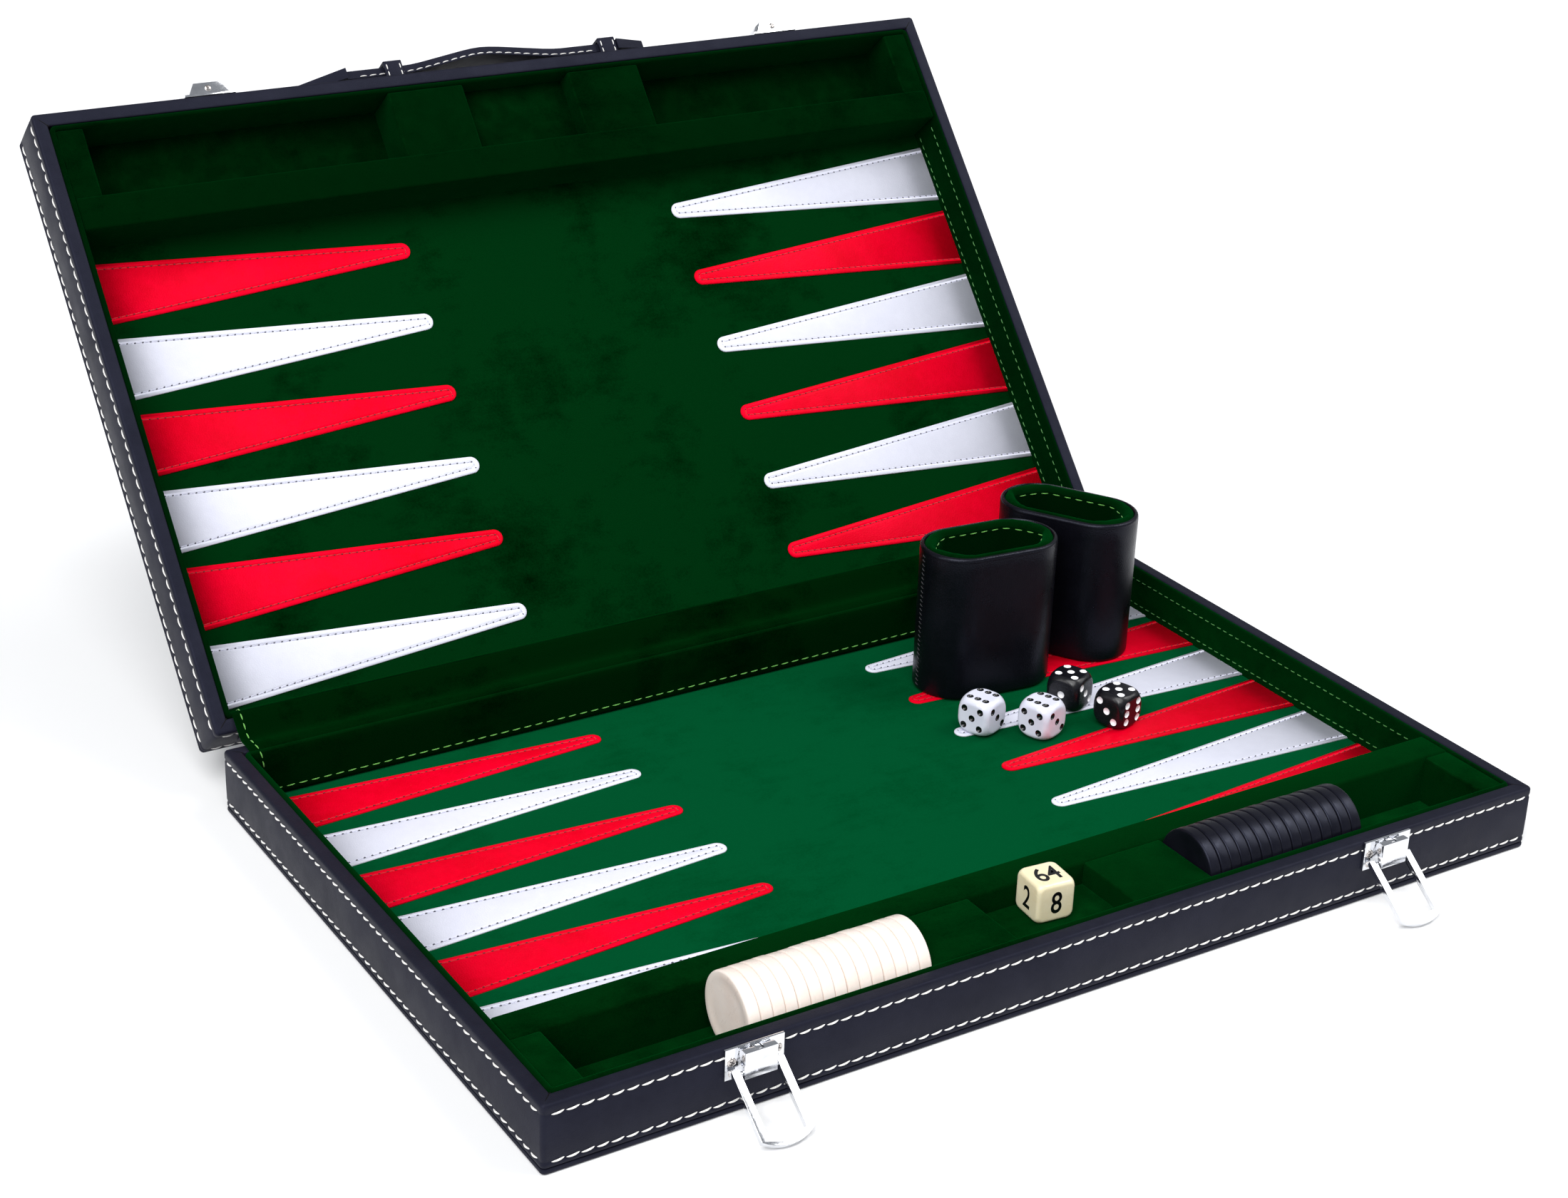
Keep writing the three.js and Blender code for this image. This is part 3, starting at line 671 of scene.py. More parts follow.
def points(prefix, body, place):
    """Twelve leatherette points, sewn down all round, and their sunk stitches."""
    for colour, material, threads in (("red", RED, [RED_THREAD, RED_HOLE_SHADE]),
                                      ("white", WHITE, [PALE_THREAD, GREY_HOLE_SHADE])):
        leather, stitches = Build(), Build()
        for side in SIDES:
            for row in range(POINTS):
                is_red = (row % 2 == 0) == (side < 0)
                if is_red != (colour == "red"):
                    continue
                leather.add(*ring_loft([
                    [(x, y, FIELD_TOP + rise) for x, y in point_outline(side, row, inset)]
                    for inset, rise in POINT_STEPS
                ]))
                line = [(x, y, FIELD_TOP + POINT_SEAM_RISE)
                        for x, y in point_outline(side, row, POINT_SEAM)]
                shown = [p for p in line if abs(p[0]) < INNER_X - 1.5 or p in (line[0], line[-1])]
                # hole=1 puts a dark grain in each gap: painted shade of the needle holes.
                sew(stitches, shown, (0, 0, 1), lean=0.08 * side, hole=1, **POINT_STITCH)
        leather.piece(f"{prefix}_points_{colour}", material, body, place, "leather", smooth=None)
        stitches.piece(f"{prefix}_point_stitches_{colour}", threads, body, place, "leather")


def side_liner_stitches(name, body, place, side):
    """Two rows of green stitches along the side liner that the camera sees."""
    build = Build()
    x = side * (INNER_X - 0.02)
    for level in (RIM - 5.2, FIELD_TOP + 3.6):
        ends = ((x, FIELD_FRONT + 2, level), (x, FIELD_REAR - 3, level))
        sew(build, ends, (-side, 0, 0), **LINER_STITCH)
    build.piece(name, GREEN_THREAD, body, place, "velour")


# The liners, the trays and the lid's board take darker copies of the field's velour: painted shade.
for half, place, field_material, liner_material in (
    ("base", base_place, FIELD_VELOUR, SHADED_LINER_VELOUR),
    ("lid", lid_place, SHADED_LID_VELOUR, SHADED_LID_LINER),
):
    shell(f"{half}_shell", half, place, (f"{half}_panel", f"{half}_frame"))
    mitres(f"{half}_shell_mitres", half, place)
    wall_stitching(f"{half}_wall_stitches", half, place)
    liner(f"{half}_lining", half, place, (f"{half}_liner",), liner_material)
    tray(f"{half}_stores", half, place, (f"{half}_tray_insert",), liner_material)
    board(f"{half}_board", half, place, (f"{half}_playing_field",), field_material)
    points(half, half, place)
side_liner_stitches("base_liner_stitches", "base", base_place, 1)
side_liner_stitches("lid_liner_stitches", "lid", lid_place, -1)


# ---- the soft hinge ----
def hinge_strip(name, path, half_length, material, columns):
    """A flexible sheet along the hinge; path is its section in (Y, Z)."""
    build = Build()
    across = [-half_length + 2 * half_length * i / columns for i in range(columns + 1)]
    build.add([(x, y, z) for y, z in path for x in across], grid_faces(columns, len(path) - 1))
    return build.piece(name, material, smooth=None)


def smooth_path(points, samples):
    """A Catmull-Rom curve through (Y, Z) points."""
    p = [Vector((*q, 0)) for q in points]
    p = [2 * p[0] - p[1]] + p + [2 * p[-1] - p[-2]]
    out = []
    pieces = len(p) - 3
    for s in range(samples + 1):
        t = pieces * s / samples
        k = min(int(t), pieces - 1)
        f = t - k
        a, b, c, d = p[k:k + 4]
        q = 0.5 * (2 * b + (c - a) * f + (2 * a - 5 * b + 4 * c - d) * f * f
                   + (3 * b - a - 3 * c + d) * f ** 3)
        out.append((q.x, q.y))
    return out


def lid_point(y, z):
    """A point of the lid half's own (Y, Z) section, in the row frame."""
    spot = lid_place @ (Vector((0, y, z)) * MM)
    return spot.y / MM, spot.z / MM


def crossing_piece(made, slot, start, end):
    """Bakes a piece's placement into its mesh."""
    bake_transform(made)


def thickened(made, thickness_mm):
    """Turns a sheet into a thin solid."""
    solid = made.modifiers.new("thickness", "SOLIDIFY")
    solid.thickness = thickness_mm * MM
    solid.offset = 0
    with bpy.context.temp_override(object=made, active_object=made):
        bpy.ops.object.modifier_apply(modifier=solid.name)
    return made


FLAP_HALF, SPINE_HALF = INNER_X - 0.4, HALF_X - 12
flap_path = smooth_path([
    (REAR - 0.9, FIELD_TOP + 1.0),
    (REAR - 0.7, RIM - 8),
    (REAR + 0.2, RIM - 1.0),
    (REAR + 4.5, RIM + 0.75),
    (HINGE.y - 1.2, HINGE.z + 1.1),
    lid_point(REAR + 4.0, RIM + 0.75),
    lid_point(REAR + 0.2, RIM - 1.0),
    lid_point(REAR - 0.7, RIM - 8),
    lid_point(REAR - 0.9, FIELD_TOP + 1.4),
], 56)
FLAP_BEND = ((0, HINGE.y - 9, HINGE.z - 1), (0, *lid_point(HALF_Y - 5, RIM - 1)))
# The flap takes the darkest velour: painted shade.
flap = hinge_strip("hinge_velour_flap", flap_path, FLAP_HALF, SHADED_FLAP_VELOUR, 90)
crossing_piece(thickened(flap, 0.8), "velour", *FLAP_BEND)

spine_path = smooth_path([
    (HALF_Y + 0.9, RIM - 12.5),
    (HALF_Y + 1.1, RIM - 4),
    (HINGE.y - 0.6, HINGE.z - 1.4),
    lid_point(HALF_Y + 1.1, RIM - 4),
    lid_point(HALF_Y + 0.9, RIM - 12.5),
], 30)
SPINE_BEND = ((0, HALF_Y + 0.5, HINGE.z - 5), (0, *lid_point(HALF_Y + 0.5, RIM - 5)))
spine = hinge_strip("hinge_spine", spine_path, SPINE_HALF, LEATHER, 60)
crossing_piece(thickened(spine, 1.0), "leather", *SPINE_BEND)
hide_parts("hinge_leaf_base", "hinge_leaf_lid")


def flap_face(at):
    """The way that the flap faces, where it passes closest to a point."""
    a, b = min(zip(flap_path, flap_path[1:]), key=lambda ends: math.dist(ends[0], (at.y, at.z)))
    return Vector((0, a[1] - b[1], b[0] - a[0])).normalized()


for end, side_name in ((-1, "left"), (1, "right")):
    end_row = Build()
    x = end * (INNER_X - 6.0)
    line = [Vector((x + 2.5 * end * math.sin(3.0 * k / len(flap_path)), y, z))
            for k, (y, z) in enumerate(flap_path)]
    sew(end_row, [p + 0.5 * flap_face(p) for p in line[2:-2]], flap_face, **FLAP_END_STITCH)
    made = end_row.piece(f"flap_end_stitches_{side_name}", LIME_THREAD)
    crossing_piece(made, "velour", *FLAP_BEND)

flap_stitches = Build()
foot_y, foot_z = REAR - 1.35, FIELD_TOP + 3.2
ends = ((-INNER_X + 8, foot_y, foot_z), (INNER_X - 6, foot_y, foot_z))
sew(flap_stitches, ends, (0, -1, 0), **FLAP_STITCH)
flap_stitches.piece("flap_stitches_base", LIME_THREAD, "base", base_place, "velour")


# ---- latches ----
SCREW_HEAD = ((1.0, -0.3), (1.0, 0.12), (0.92, 0.3), (0.7, 0.42), (0.35, 0.48), (0.05, 0.5))
SCREW_SIDES, CROSS_LENGTH, CROSS_WIDTH = 18, 0.62, 0.14
PLATE_SCREWS, PLATE_SCREW_X, CATCH_SCREW_X = ((5.2, 1.75), (10.0, 1.2)), 9.2, 9.9
MOUNT_Y = HALF_Y + 0.3
FACE_Y = -(MOUNT_Y + 1.0)


def bevelled_copy(node, name, material, width_mm, segments):
    """A CAD node's shape with its sharp edges rolled over, as a piece of its own."""
    source = frame["nodes"][node]
    mesh = source.data.copy()
    mesh.name = name
    mesh.materials.clear()
    work = bmesh.new()
    work.from_mesh(mesh)
    bmesh.ops.remove_doubles(work, verts=work.verts, dist=1e-6)
    bmesh.ops.dissolve_limit(work, angle_limit=math.radians(2), verts=work.verts, edges=work.edges)
    sharp = [edge for edge in work.edges
             if len(edge.link_faces) == 2 and edge.calc_face_angle(0) > math.radians(35)]
    bmesh.ops.bevel(work, geom=sharp, offset=width_mm * MM, segments=segments, profile=0.6,
                    affect="EDGES", clamp_overlap=True)
    work.to_mesh(mesh)
    work.free()
    finished(mesh, name, material, source["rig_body"], base_place, (node,), 30)


def screw(build, at, outward, radius, turn):
    """A small cross-head screw: a domed head with a cut cross."""
    place = Matrix.Translation(at) @ Vector(outward).to_track_quat("Z", "Y").to_matrix().to_4x4()
    rings = []
    for share, height in SCREW_HEAD:
        spokes = [math.tau * k / SCREW_SIDES for k in range(SCREW_SIDES)]
        rings.append([place @ Vector((radius * share * math.cos(a), radius * share * math.sin(a), height))
                      for a in spokes])
    build.add(*ring_loft(rings))
    for quarter in (0, 1):
        verts, faces = soft_box((-radius * CROSS_LENGTH, -radius * CROSS_WIDTH, 0.3),
                                (radius * CROSS_LENGTH, radius * CROSS_WIDTH, 0.53), 0.06, 1)
        spin = place @ Matrix.Rotation(turn + quarter * math.pi / 2, 4, "Z")
        build.add([tuple(spin @ Vector(v)) for v in verts], faces, 1)


for side in ("left", "right"):
    for part, rolled, segments in (("plate", 0.22, 2), ("lever", 0.25, 2), ("loop", 1.12, 5)):
        node, name = f"latch_{part}_{side}", f"latch_{side}_{part}"
        bevelled_copy(node, name, CHROME, rolled, segments)
    low, high = span(f"latch_plate_{side}")
    middle_x = (low.x + high.x) / 2
    build = Build()
    for sx in SIDES:
        for below, radius in PLATE_SCREWS:
            at = (middle_x + sx * PLATE_SCREW_X, FACE_Y, high.z - below)
            screw(build, at, (0, -1, 0), radius, rng.uniform(0, 1.5))
    build.piece(f"latch_{side}_screws", [SCREW, DARK_METAL], "base", base_place, "chrome")
    bevelled_copy(f"latch_catch_{side}", f"catch_{side}", CHROME, 0.35, 3)
    build = Build()
    for sx in SIDES:
        at = (-middle_x + sx * CATCH_SCREW_X, FACE_Y + 0.1, RIM - 8.5)
        screw(build, at, (0, -1, 0), 1.3, rng.uniform(0, 1.5))
    screw(build, (-middle_x, FACE_Y - 2.8, RIM - 2.05), (0, 0, 1), 1.5, 0.6)
    build.piece(f"catch_{side}_screws", [SCREW, DARK_METAL], "lid", lid_place, "chrome")


# ---- handle ----
STRAP_HALF, STRAP_THICK, STRAP_LIFT, STRAP_BOW = 7.0, 4.0, 2.6, 5.0
KEEPER_X, KEEPER_HALF, KEEPER_WALL, KEEPER_GAP, TRAVEL = 55.0, 4.5, 1.5, 0.6, 18.0
HANDLE_Z = RIM / 2
bevelled_copy("handle_strap", "handle_grip", LEATHER, 1.5, 4)


def bow_curve(start, end, pieces=16):
    """The rise of the strap's bow: two mirrored Bezier quarters, as (x, rise)."""
    ease, middle = (end - start) / 8, (end - start) / 2
    climb = []
    for k in range(pieces + 1):
        t = k / pieces
        x = 3 * (1 - t) ** 2 * t * ease + 3 * (1 - t) * t * t * (middle - ease) + t ** 3 * middle
        climb.append((x, STRAP_BOW * (3 * (1 - t) * t * t + t ** 3)))
    return [(start + x, rise) for x, rise in climb] + [(end - x, rise) for x, rise in climb[-2::-1]]


BOW = bow_curve(TRAVEL + 1 - (KEEPER_X - KEEPER_HALF), KEEPER_X - KEEPER_HALF - 1)


def strap_rise(x):
    """How far the strap stands above its ends."""
    return float(np.interp(x, [p[0] for p in BOW], [p[1] for p in BOW], 0, 0))


def strap_line(z, out, x0, x1, pieces=24):
    """Points along the strap in the lid half's own frame, a given way out from its underside."""
    xs = [x0 + (x1 - x0) * k / pieces for k in range(pieces + 1)]
    return [(x, -(MOUNT_Y + STRAP_LIFT + out + strap_rise(x)), z) for x in xs]


strap_stitches = Build()
for up in SIDES:
    z = HANDLE_Z + up * (STRAP_HALF - 2.0)
    sew(strap_stitches, strap_line(z, STRAP_THICK, -47, 66), (0, -1, 0), **STRAP_STITCH)
    edge = HANDLE_Z + up * STRAP_HALF
    sew(strap_stitches, strap_line(edge, 0.9, -48, 72), (0, 0, up), **STRAP_EDGE_STITCH)
strap_stitches.piece("handle_stitches", WHITE_THREAD, "handle", lid_place, "leather")
for side, sign in (("left", 1), ("right", -1)):
    bevelled_copy(f"handle_keeper_{side}", f"keeper_{side}", LEATHER, 0.5, 3)
    keeper_stitches = Build()
    crown = -(MOUNT_Y + STRAP_LIFT + STRAP_THICK + KEEPER_GAP + KEEPER_WALL)
    reach = STRAP_HALF + 1.2
    for across in SIDES:
        x = sign * KEEPER_X + across * (KEEPER_HALF - 1.3)
        sew(keeper_stitches, [(x, crown, HANDLE_Z - reach), (x, crown, HANDLE_Z + reach)], (0, -1, 0),
            **KEEPER_STITCH)
        for up in SIDES:
            z = HANDLE_Z + up * (STRAP_HALF + KEEPER_GAP + KEEPER_WALL)
            sew(keeper_stitches, [(x, crown + 1.2, z), (x, -HALF_Y - 0.8, z)], (0, 0, up),
                **KEEPER_STITCH)
    keeper_stitches.piece(f"keeper_{side}_stitches", WHITE_THREAD, "lid", lid_place, "leather")


# ---- dice cups ----
CUP_LENGTH, CUP_WIDTH = 64.5, 36.5


def cup_section(inset, fold=0.0, steps=20):
    """A flattened oval: straight long sides and round ends, which fold draws out to points."""
    length, width = CUP_LENGTH - 2 * inset, CUP_WIDTH - 2 * inset
    straight = (length - width) / 2
    points = []
    for sign in (1, -1):
        for k in range(steps + 1):
            angle = -math.pi / 2 + math.pi * k / steps
            bulge = (1 - fold) * math.cos(angle) + fold * (1 - abs(math.sin(angle)))
            points.append((sign * (straight + width / 2 * bulge), sign * width / 2 * math.sin(angle)))
    return points


def cup_rings(levels):
    """The cup's section at each (inset, height, fold)."""
    return [[(x, y, z) for x, y in cup_section(inset, fold)] for inset, z, fold in levels]


def dice_cup(name, node, turn_degrees):
    low, high = span(node)
    centre = Vector(((low.x + high.x) / 2, (low.y + high.y) / 2, low.z))
    height = high.z - low.z
    place = Matrix.Translation(centre * MM) @ Matrix.Rotation(math.radians(turn_degrees), 4, "Z")

    foot = [(1.6, 0.0), (0.6, 0.25), (0.15, 0.9), (0.0, 1.8)]
    sides = [(0.05 * math.sin(k * 0.9) + 0.05, 1.8 + (height - 4.6) * k / 12) for k in range(1, 12)]
    rim = [(0.0, 2.4), (0.12, 1.9), (0.05, 1.4), (0.3, 0.7), (0.9, 0.2), (1.6, 0.1), (2.1, 0.6), (2.2, 2)]
    outside = foot + sides + [(inset, height - below) for inset, below in rim]
    rings = cup_rings([(inset, z, 0.0) for inset, z in outside])
    build = Build()
    build.add(*ring_loft(rings, caps=False))
    build.add_lid(rings[0])
    build.piece(f"{name}_leather", CUP_LEATHER, node, place, "leather", (node,), 50)

    soft = cup_rings([
        (2.4, height - 2.5, 0), (2.3, height - 0.9, 0), (2.5, height - 0.1, 0.1),
        (3.1, height + 0.35, 0.25), (4.0, height + 0.2, 0.4), (4.7, height - 0.6, 0.5),
        (5.0, height - 2.2, 0.55), (4.9, height - 4, 0.55), (4.6, height - 9, 0.4),
        (4.4, height * 0.5, 0.1), (4.4, 5.0, 0), (6, 3.6, 0), (9.0, 3.3, 0),
    ])
    rim_levels, turned_in = 7, 9
    for level, ring in enumerate(soft[:turned_in]):
        for k, (x, y, z) in enumerate(ring):
            swell = math.sin(k * 1.7 + level * 0.6)
            ring[k] = (x * (1 - 0.0007 * swell), y * (1 - 0.0013 * swell), z + 0.12 * math.sin(k * 2.3))
    build = Build()
    # The rim takes the liner velour and the inside the darker lid-liner velour: painted shade down in the
    # cup.
    build.add(*ring_loft(soft[:rim_levels], caps=False))
    build.add(*ring_loft(soft[rim_levels - 1:], caps=False), 1)
    build.add_lid(soft[-1], 1)
    build.piece(f"{name}_velour", [SHADED_LINER_VELOUR, SHADED_LID_LINER], node, place, "velour", smooth=70)

    stitches = Build()
    path = [(x, y, height - 3.1) for x, y in cup_section(5.2, 0.55, 24)]
    sew(stitches, path + path[:1], lambda at: Vector((-at.x, -at.y, 0.25)), **CUP_STITCH)
    stitches.piece(f"{name}_rim_stitches", LIME_THREAD, node, place, "velour")

    # The covering's seam: a close zigzag of thread over the place where its edges meet.
    seam = Build()
    crossings = 30
    for k in range(crossings):
        z = 2.6 + (height - 6.2) * k / (crossings - 1)
        seam.add(*rice_grain((-CUP_LENGTH / 2, 0.6, z), (0, 1, 0.35), (-1, 0.03, 0), 2.2, 0.4))
    seam.piece(f"{name}_seam", BLACK_THREAD, node, place, "leather")


dice_cup("cup_front", "dice_cup_front", -5.5)
dice_cup("cup_rear", "dice_cup_rear", -58.7)


# ---- dice and doubling cube ----
PIPS = {
    1: [(0, 0)],
    2: [(-1, -1), (1, 1)],
    3: [(-1, -1), (0, 0), (1, 1)],
    4: [(-1, -1), (-1, 1), (1, -1), (1, 1)],
    5: [(-1, -1), (-1, 1), (0, 0), (1, -1), (1, 1)],
    6: [(-1, -1), (-1, 0), (-1, 1), (1, -1), (1, 0), (1, 1)],
}
PIP_PITCH, WHITE_PIP, BLACK_DIE_PIP = 4.0, 1.75, 1.85
DIE_EDGE_R, DIE_REACH = 2.3, 10.95
CUBE_EDGE_R, CUBE_REACH = 1.5, 12.6


def rounded_cube(edge, radius, reach):
    """A cube with rounded edges, tumbled until no corner is further than reach from its middle."""
    steps = 32
    half = edge / 2
    across = [half * math.sin(math.pi / 2 * (2 * i / steps - 1)) for i in range(steps + 1)]
    build = Build()
    for axis in range(3):
        for sign in SIDES:
            grid = []
            for b in across:
                for a in across:
                    v = Vector()
                    v[axis], v[(axis + 1) % 3], v[(axis + 2) % 3] = sign * half, a, b
                    core = Vector([max(-half + radius, min(half - radius, c)) for c in v])
                    away = v - core
                    if away.length > 1e-9:
                        v = core + away.normalized() * min(radius, away.length)
                    over = v.length - reach + 0.5
                    if over > 0:
                        v *= (reach - 0.5 + 0.5 * math.tanh(over)) / v.length
                    grid.append(tuple(v))
            quads = grid_faces(steps, steps)
            build.add(grid, quads if sign > 0 else [quad[::-1] for quad in quads])
    return build


def pip_cutters(edge, faces, pip_radius):
    """Balls that drill each face's pips."""
    work = bmesh.new()
    for (axis, sign, turn), number in faces.items():
        for u, v in PIPS[number]:
            if turn:
                u, v = v, -u
            p = Vector()
            p[axis] = sign * (edge / 2 + pip_radius * 0.45)
            p[(axis + 1) % 3], p[(axis + 2) % 3] = u * PIP_PITCH, v * PIP_PITCH
            bmesh.ops.create_icosphere(work, subdivisions=3, radius=pip_radius * MM,
                                       matrix=Matrix.Translation(p * MM))
    mesh = bpy.data.meshes.new("cutter")
    work.to_mesh(mesh)
    work.free()
    return added("cutter", mesh)


def shaped_mesh(holder):
    """The mesh that an object comes out as, with its modifiers or as outlined text."""
    bpy.context.view_layer.update()
    graph = bpy.context.evaluated_depsgraph_get()
    return bpy.data.meshes.new_from_object(holder.evaluated_get(graph))


def apply_cut(made, cutter):
    cut = made.modifiers.new("cut", "BOOLEAN")
    cut.operation = "DIFFERENCE"
    cut.solver = "EXACT"
    cut.material_mode = "TRANSFER"
    cut.object = cutter
    mesh = shaped_mesh(made)
    made.modifiers.clear()
    made.data = mesh
    bpy.data.objects.remove(cutter)


def die(name, node, turn_degrees, materials, slot, numbers, pip_radius):
    """A die showing three numbers, on +Z, -X and -Y; opposite faces add up to seven."""
    top, left, right = numbers
    faces = {
        (2, 1, 0): top, (2, -1, 0): 7 - top,
        (0, -1, 0): left, (0, 1, 0): 7 - left,
        (1, -1, 1): right, (1, 1, 1): 7 - right,
    }
    low, high = span(node)
    edge = high.z - low.z
    cube = rounded_cube(edge, DIE_EDGE_R, DIE_REACH)
    made = cube.piece(name, materials, None, base_place, slot, (node,), None)
    cutter = pip_cutters(edge, faces, pip_radius)
    cutter.data.materials.append(materials[1])
    apply_cut(made, cutter)
    made.data.shade_smooth()
    made.data.set_sharp_from_angle(angle=math.radians(35))
    turn = Matrix.Rotation(math.radians(turn_degrees), 4, "Z")
    made.matrix_world = Matrix.Translation((low + high) / 2 * MM) @ turn
    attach(made, node)


WHITE_DIE, BLACK_DIE = [DIE_WHITE, PIP_BLACK], [DIE_BLACK, PIP_WHITE]
die("white_die_left", "die_white_left", 21, WHITE_DIE, "ivory", (6, 5, 3), WHITE_PIP)
die("white_die_right", "die_white_right", 19, WHITE_DIE, "ivory", (6, 5, 3), WHITE_PIP)
die("black_die_rear", "die_black_rear", 24, BLACK_DIE, "jet", (5, 1, 3), BLACK_DIE_PIP)
die("black_die_front", "die_black_front", 16, BLACK_DIE, "jet", (5, 3, 6), BLACK_DIE_PIP)


def numeral(text, size_mm, breadth):
    """A numeral as a shallow solid lying in X and Y."""
    curve = bpy.data.curves.new("numeral", "FONT")
    curve.body = text
    curve.size = size_mm * MM
    curve.align_x, curve.align_y = "CENTER", "CENTER"
    curve.extrude = 0.0004
    curve.offset = 0.00016
    holder = added("numeral", curve)
    mesh = shaped_mesh(holder)
    bpy.data.objects.remove(holder)
    co = np.array([v.co for v in mesh.vertices])
    middle = (co.min(0) + co.max(0)) / 2
    centred = Matrix.Translation((-middle[0], -middle[1], 0))
    mesh.transform(Matrix.Diagonal((breadth, 1, 1, 1)) @ centred)
    return mesh


def doubling_cube():
    low, high = span("doubling_cube")
    edge = high.z - low.z
    place = Matrix.Translation((low + high) / 2 * MM) @ Matrix.Rotation(math.radians(-5), 4, "Z")
    cube = rounded_cube(edge, CUBE_EDGE_R, CUBE_REACH)
    cube.piece("cube_of_doubles", CREAM, "doubling_cube", place, "cream", ("doubling_cube",), None)
    quarter = math.pi / 2
    faces = (
        ("64", (0, 0, 0), (0, 0, 1)),
        ("2", (quarter, 0, -quarter), (-1, 0, 0)),
        ("8", (quarter, 0, 0), (0, -1, 0)),
        ("16", (quarter, 0, quarter), (1, 0, 0)),
        ("4", (quarter, 0, 2 * quarter), (0, 1, 0)),
        ("32", (2 * quarter, 0, 0), (0, 0, -1)),
    )
    height, single, double, sunk = 12.6, 0.8, 0.86, 0.38
    joined = bmesh.new()
    for text, turn, outward in faces:
        mesh = numeral(text, height, single if len(text) == 1 else double)
        face = Matrix.Translation(Vector(outward) * (edge / 2 - sunk) * MM)
        mesh.transform(face @ Euler(turn).to_matrix().to_4x4())
        joined.from_mesh(mesh)
        bpy.data.meshes.remove(mesh)
    mesh = bpy.data.meshes.new("cube_numerals")
    joined.to_mesh(mesh)
    joined.free()
    finished(mesh, "cube_numerals", PIP_BLACK, "doubling_cube", place, (), 30)


doubling_cube()


# ---- checkers ----
CHECKER_EDGE_R, CHECKER_SIDES = 0.85, 72


def checker(thickness, radius):
    """A turned disc: rounded edge, a shallow dished face with one fine ring."""
    half, round_r = thickness / 2, CHECKER_EDGE_R
    rim = [(0.0, half - 0.22), (radius * 0.55, half - 0.2), (radius - 3.4, half - 0.16),
           (radius - 2.9, half - 0.02), (radius - 1.1, half)]
    rim += [(radius - round_r + round_r * math.sin(a), half - round_r + round_r * math.cos(a))
            for a in angles(15, 91, 15)]
    rim += [(r, -x) for r, x in reversed(rim)]
    spokes = [math.tau * k / CHECKER_SIDES for k in range(CHECKER_SIDES)]
    build = Build()
    build.add(*ring_loft([[(x, max(r, 0.01) * math.cos(a), max(r, 0.01) * math.sin(a)) for a in spokes]
                          for r, x in rim]))
    return build


for colour, material, slot in (("white", IVORY, "ivory"), ("black", JET, "jet")):
    for number in range(1, 16):
        node = f"checker_{colour}_{number:02d}"
        low, high = span(node)
        slack = Vector((0, rng.uniform(-0.25, 0.25), rng.uniform(0, 0.05)))
        place = Matrix.Translation(((low + high) / 2 + slack) * MM)
        place = place @ Matrix.Rotation(rng.uniform(0, math.tau), 4, "X")
        disc = checker(high.x - low.x, (high.z - low.z) / 2)
        disc.piece(f"disc_{colour}_{number:02d}", material, node, place, slot, (node,), 50)


# ---- floor, light and camera ----
FLOOR_REACH, FLOOR_BELOW = 12.0, 0.0002
floor_shader = Shader("pale_floor", Roughness=0.85)
floor_tone = floor_shader.ramp(floor_shader.noise(400.0, 2.0), (0.3, (0.93, 0.93, 0.935)),
                               (0.7, (0.96, 0.96, 0.96)))
floor_shader.set(floor_shader.main, Base_Color=floor_tone)
floor_mesh = bpy.data.meshes.new("floor")
square = ((-1, -1), (1, -1), (1, 1), (-1, 1))
floor_mesh.from_pydata([(sx * FLOOR_REACH, sy * FLOOR_REACH, 0) for sx, sy in square], [], [(0, 1, 2, 3)])
floor_mesh.materials.append(floor_shader.material)
floor_object = added("floor", floor_mesh)
floor_object.location.z = -FLOOR_BELOW

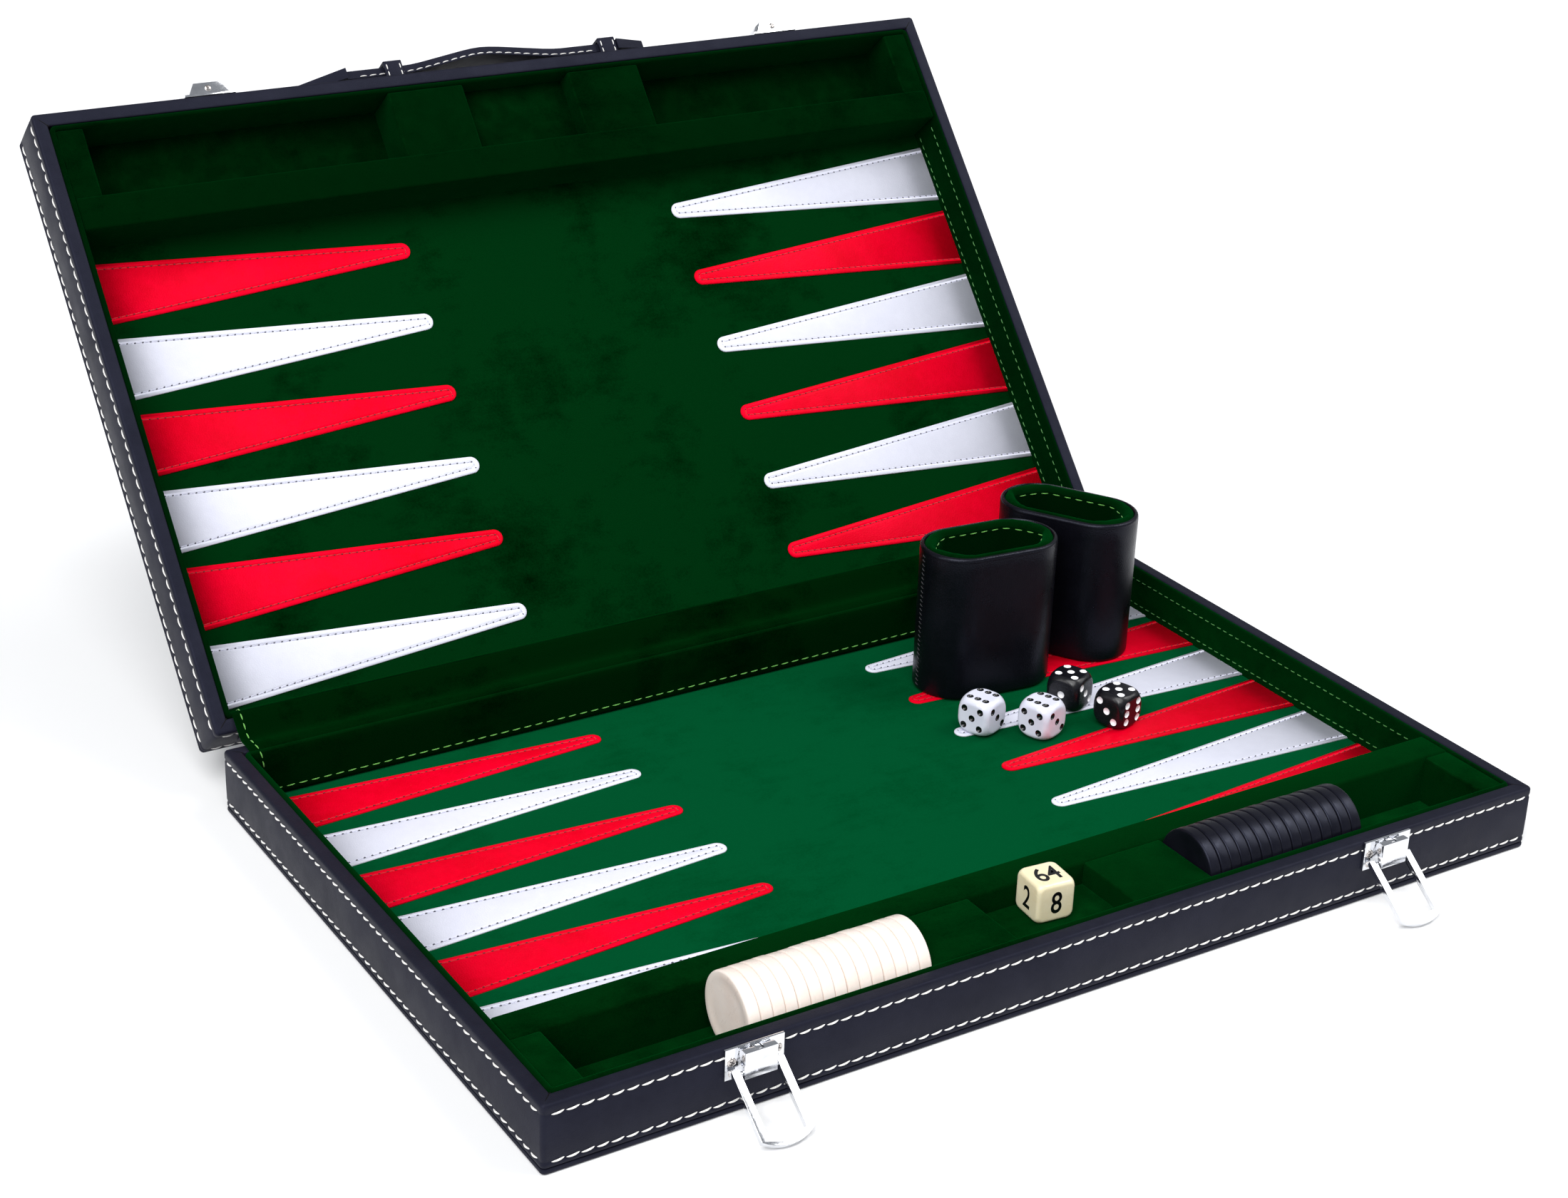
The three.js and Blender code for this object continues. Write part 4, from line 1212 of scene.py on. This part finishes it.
world = bpy.data.worlds.new("studio")
bpy.context.scene.world = world
world.use_nodes = True
background = world.node_tree.nodes["Background"]
background.inputs["Color"].default_value = (0.90, 0.94, 1.0, 1)
background.inputs["Strength"].default_value = 0.3


def lamp(name, kind, location, target, energy, **settings):
    light = bpy.data.lights.new(name, kind)
    light.energy = energy
    for key, value in settings.items():
        setattr(light, key, value)
    holder = added(name, light)
    holder.location = location
    holder.rotation_euler = (Vector(target) - Vector(location)).to_track_quat("-Z", "Y").to_euler()


def softbox(name, location, target, size, power):
    lamp(name, "AREA", location, target, power, shape="RECTANGLE", size=size[0], size_y=size[1])


MIDDLE = (0, 0.05, 0.08)
lamp("sky_key", "SUN", (-1.0, -0.85, 2.1), MIDDLE, 2.35, angle=math.radians(50))
lamp("sky_fill", "SUN", (1.35, -0.45, 1.4), MIDDLE, 0.9, angle=math.radians(40))
softbox("front_left", (-2.6, -1.85, 2.32), MIDDLE, (1.0, 2.0), 32)
softbox("loop_light", (1.72, -0.87, 2.98), (0, -0.165, 0.01), (1.2, 1.0), 24)
softbox("strip", (-2.8, -0.05, 1.32), MIDDLE, (0.6, 2.4), 16)

AZIMUTH, ELEVATION, ROLL = -32.7823, 24.9306, 2.1176
DISTANCE, TARGET = 1.0860, Vector((-0.0265, 0.0353, 0.0942))
azimuth, elevation, roll = math.radians(AZIMUTH), math.radians(ELEVATION), math.radians(ROLL)
back = Vector((math.sin(azimuth) * math.cos(elevation), -math.cos(azimuth) * math.cos(elevation),
               math.sin(elevation)))
camera_data = bpy.data.cameras.new("camera")
camera_data.sensor_fit = "HORIZONTAL"
camera_data.sensor_width = 36.0
camera_data.lens = 62.61
camera_data.clip_start, camera_data.clip_end = 0.05, 50.0
camera = added("camera", camera_data)
right = (-back).cross(Vector((0, 0, 1))).normalized()
up = right.cross(-back).normalized()
right, up = right * math.cos(roll) + up * math.sin(roll), up * math.cos(roll) - right * math.sin(roll)
turn = Matrix((right, up, back)).transposed().to_4x4()
camera.matrix_world = Matrix.Translation(TARGET + back * DISTANCE) @ turn
bpy.context.scene.camera = camera
bpy.context.scene.view_settings.view_transform = "Standard"
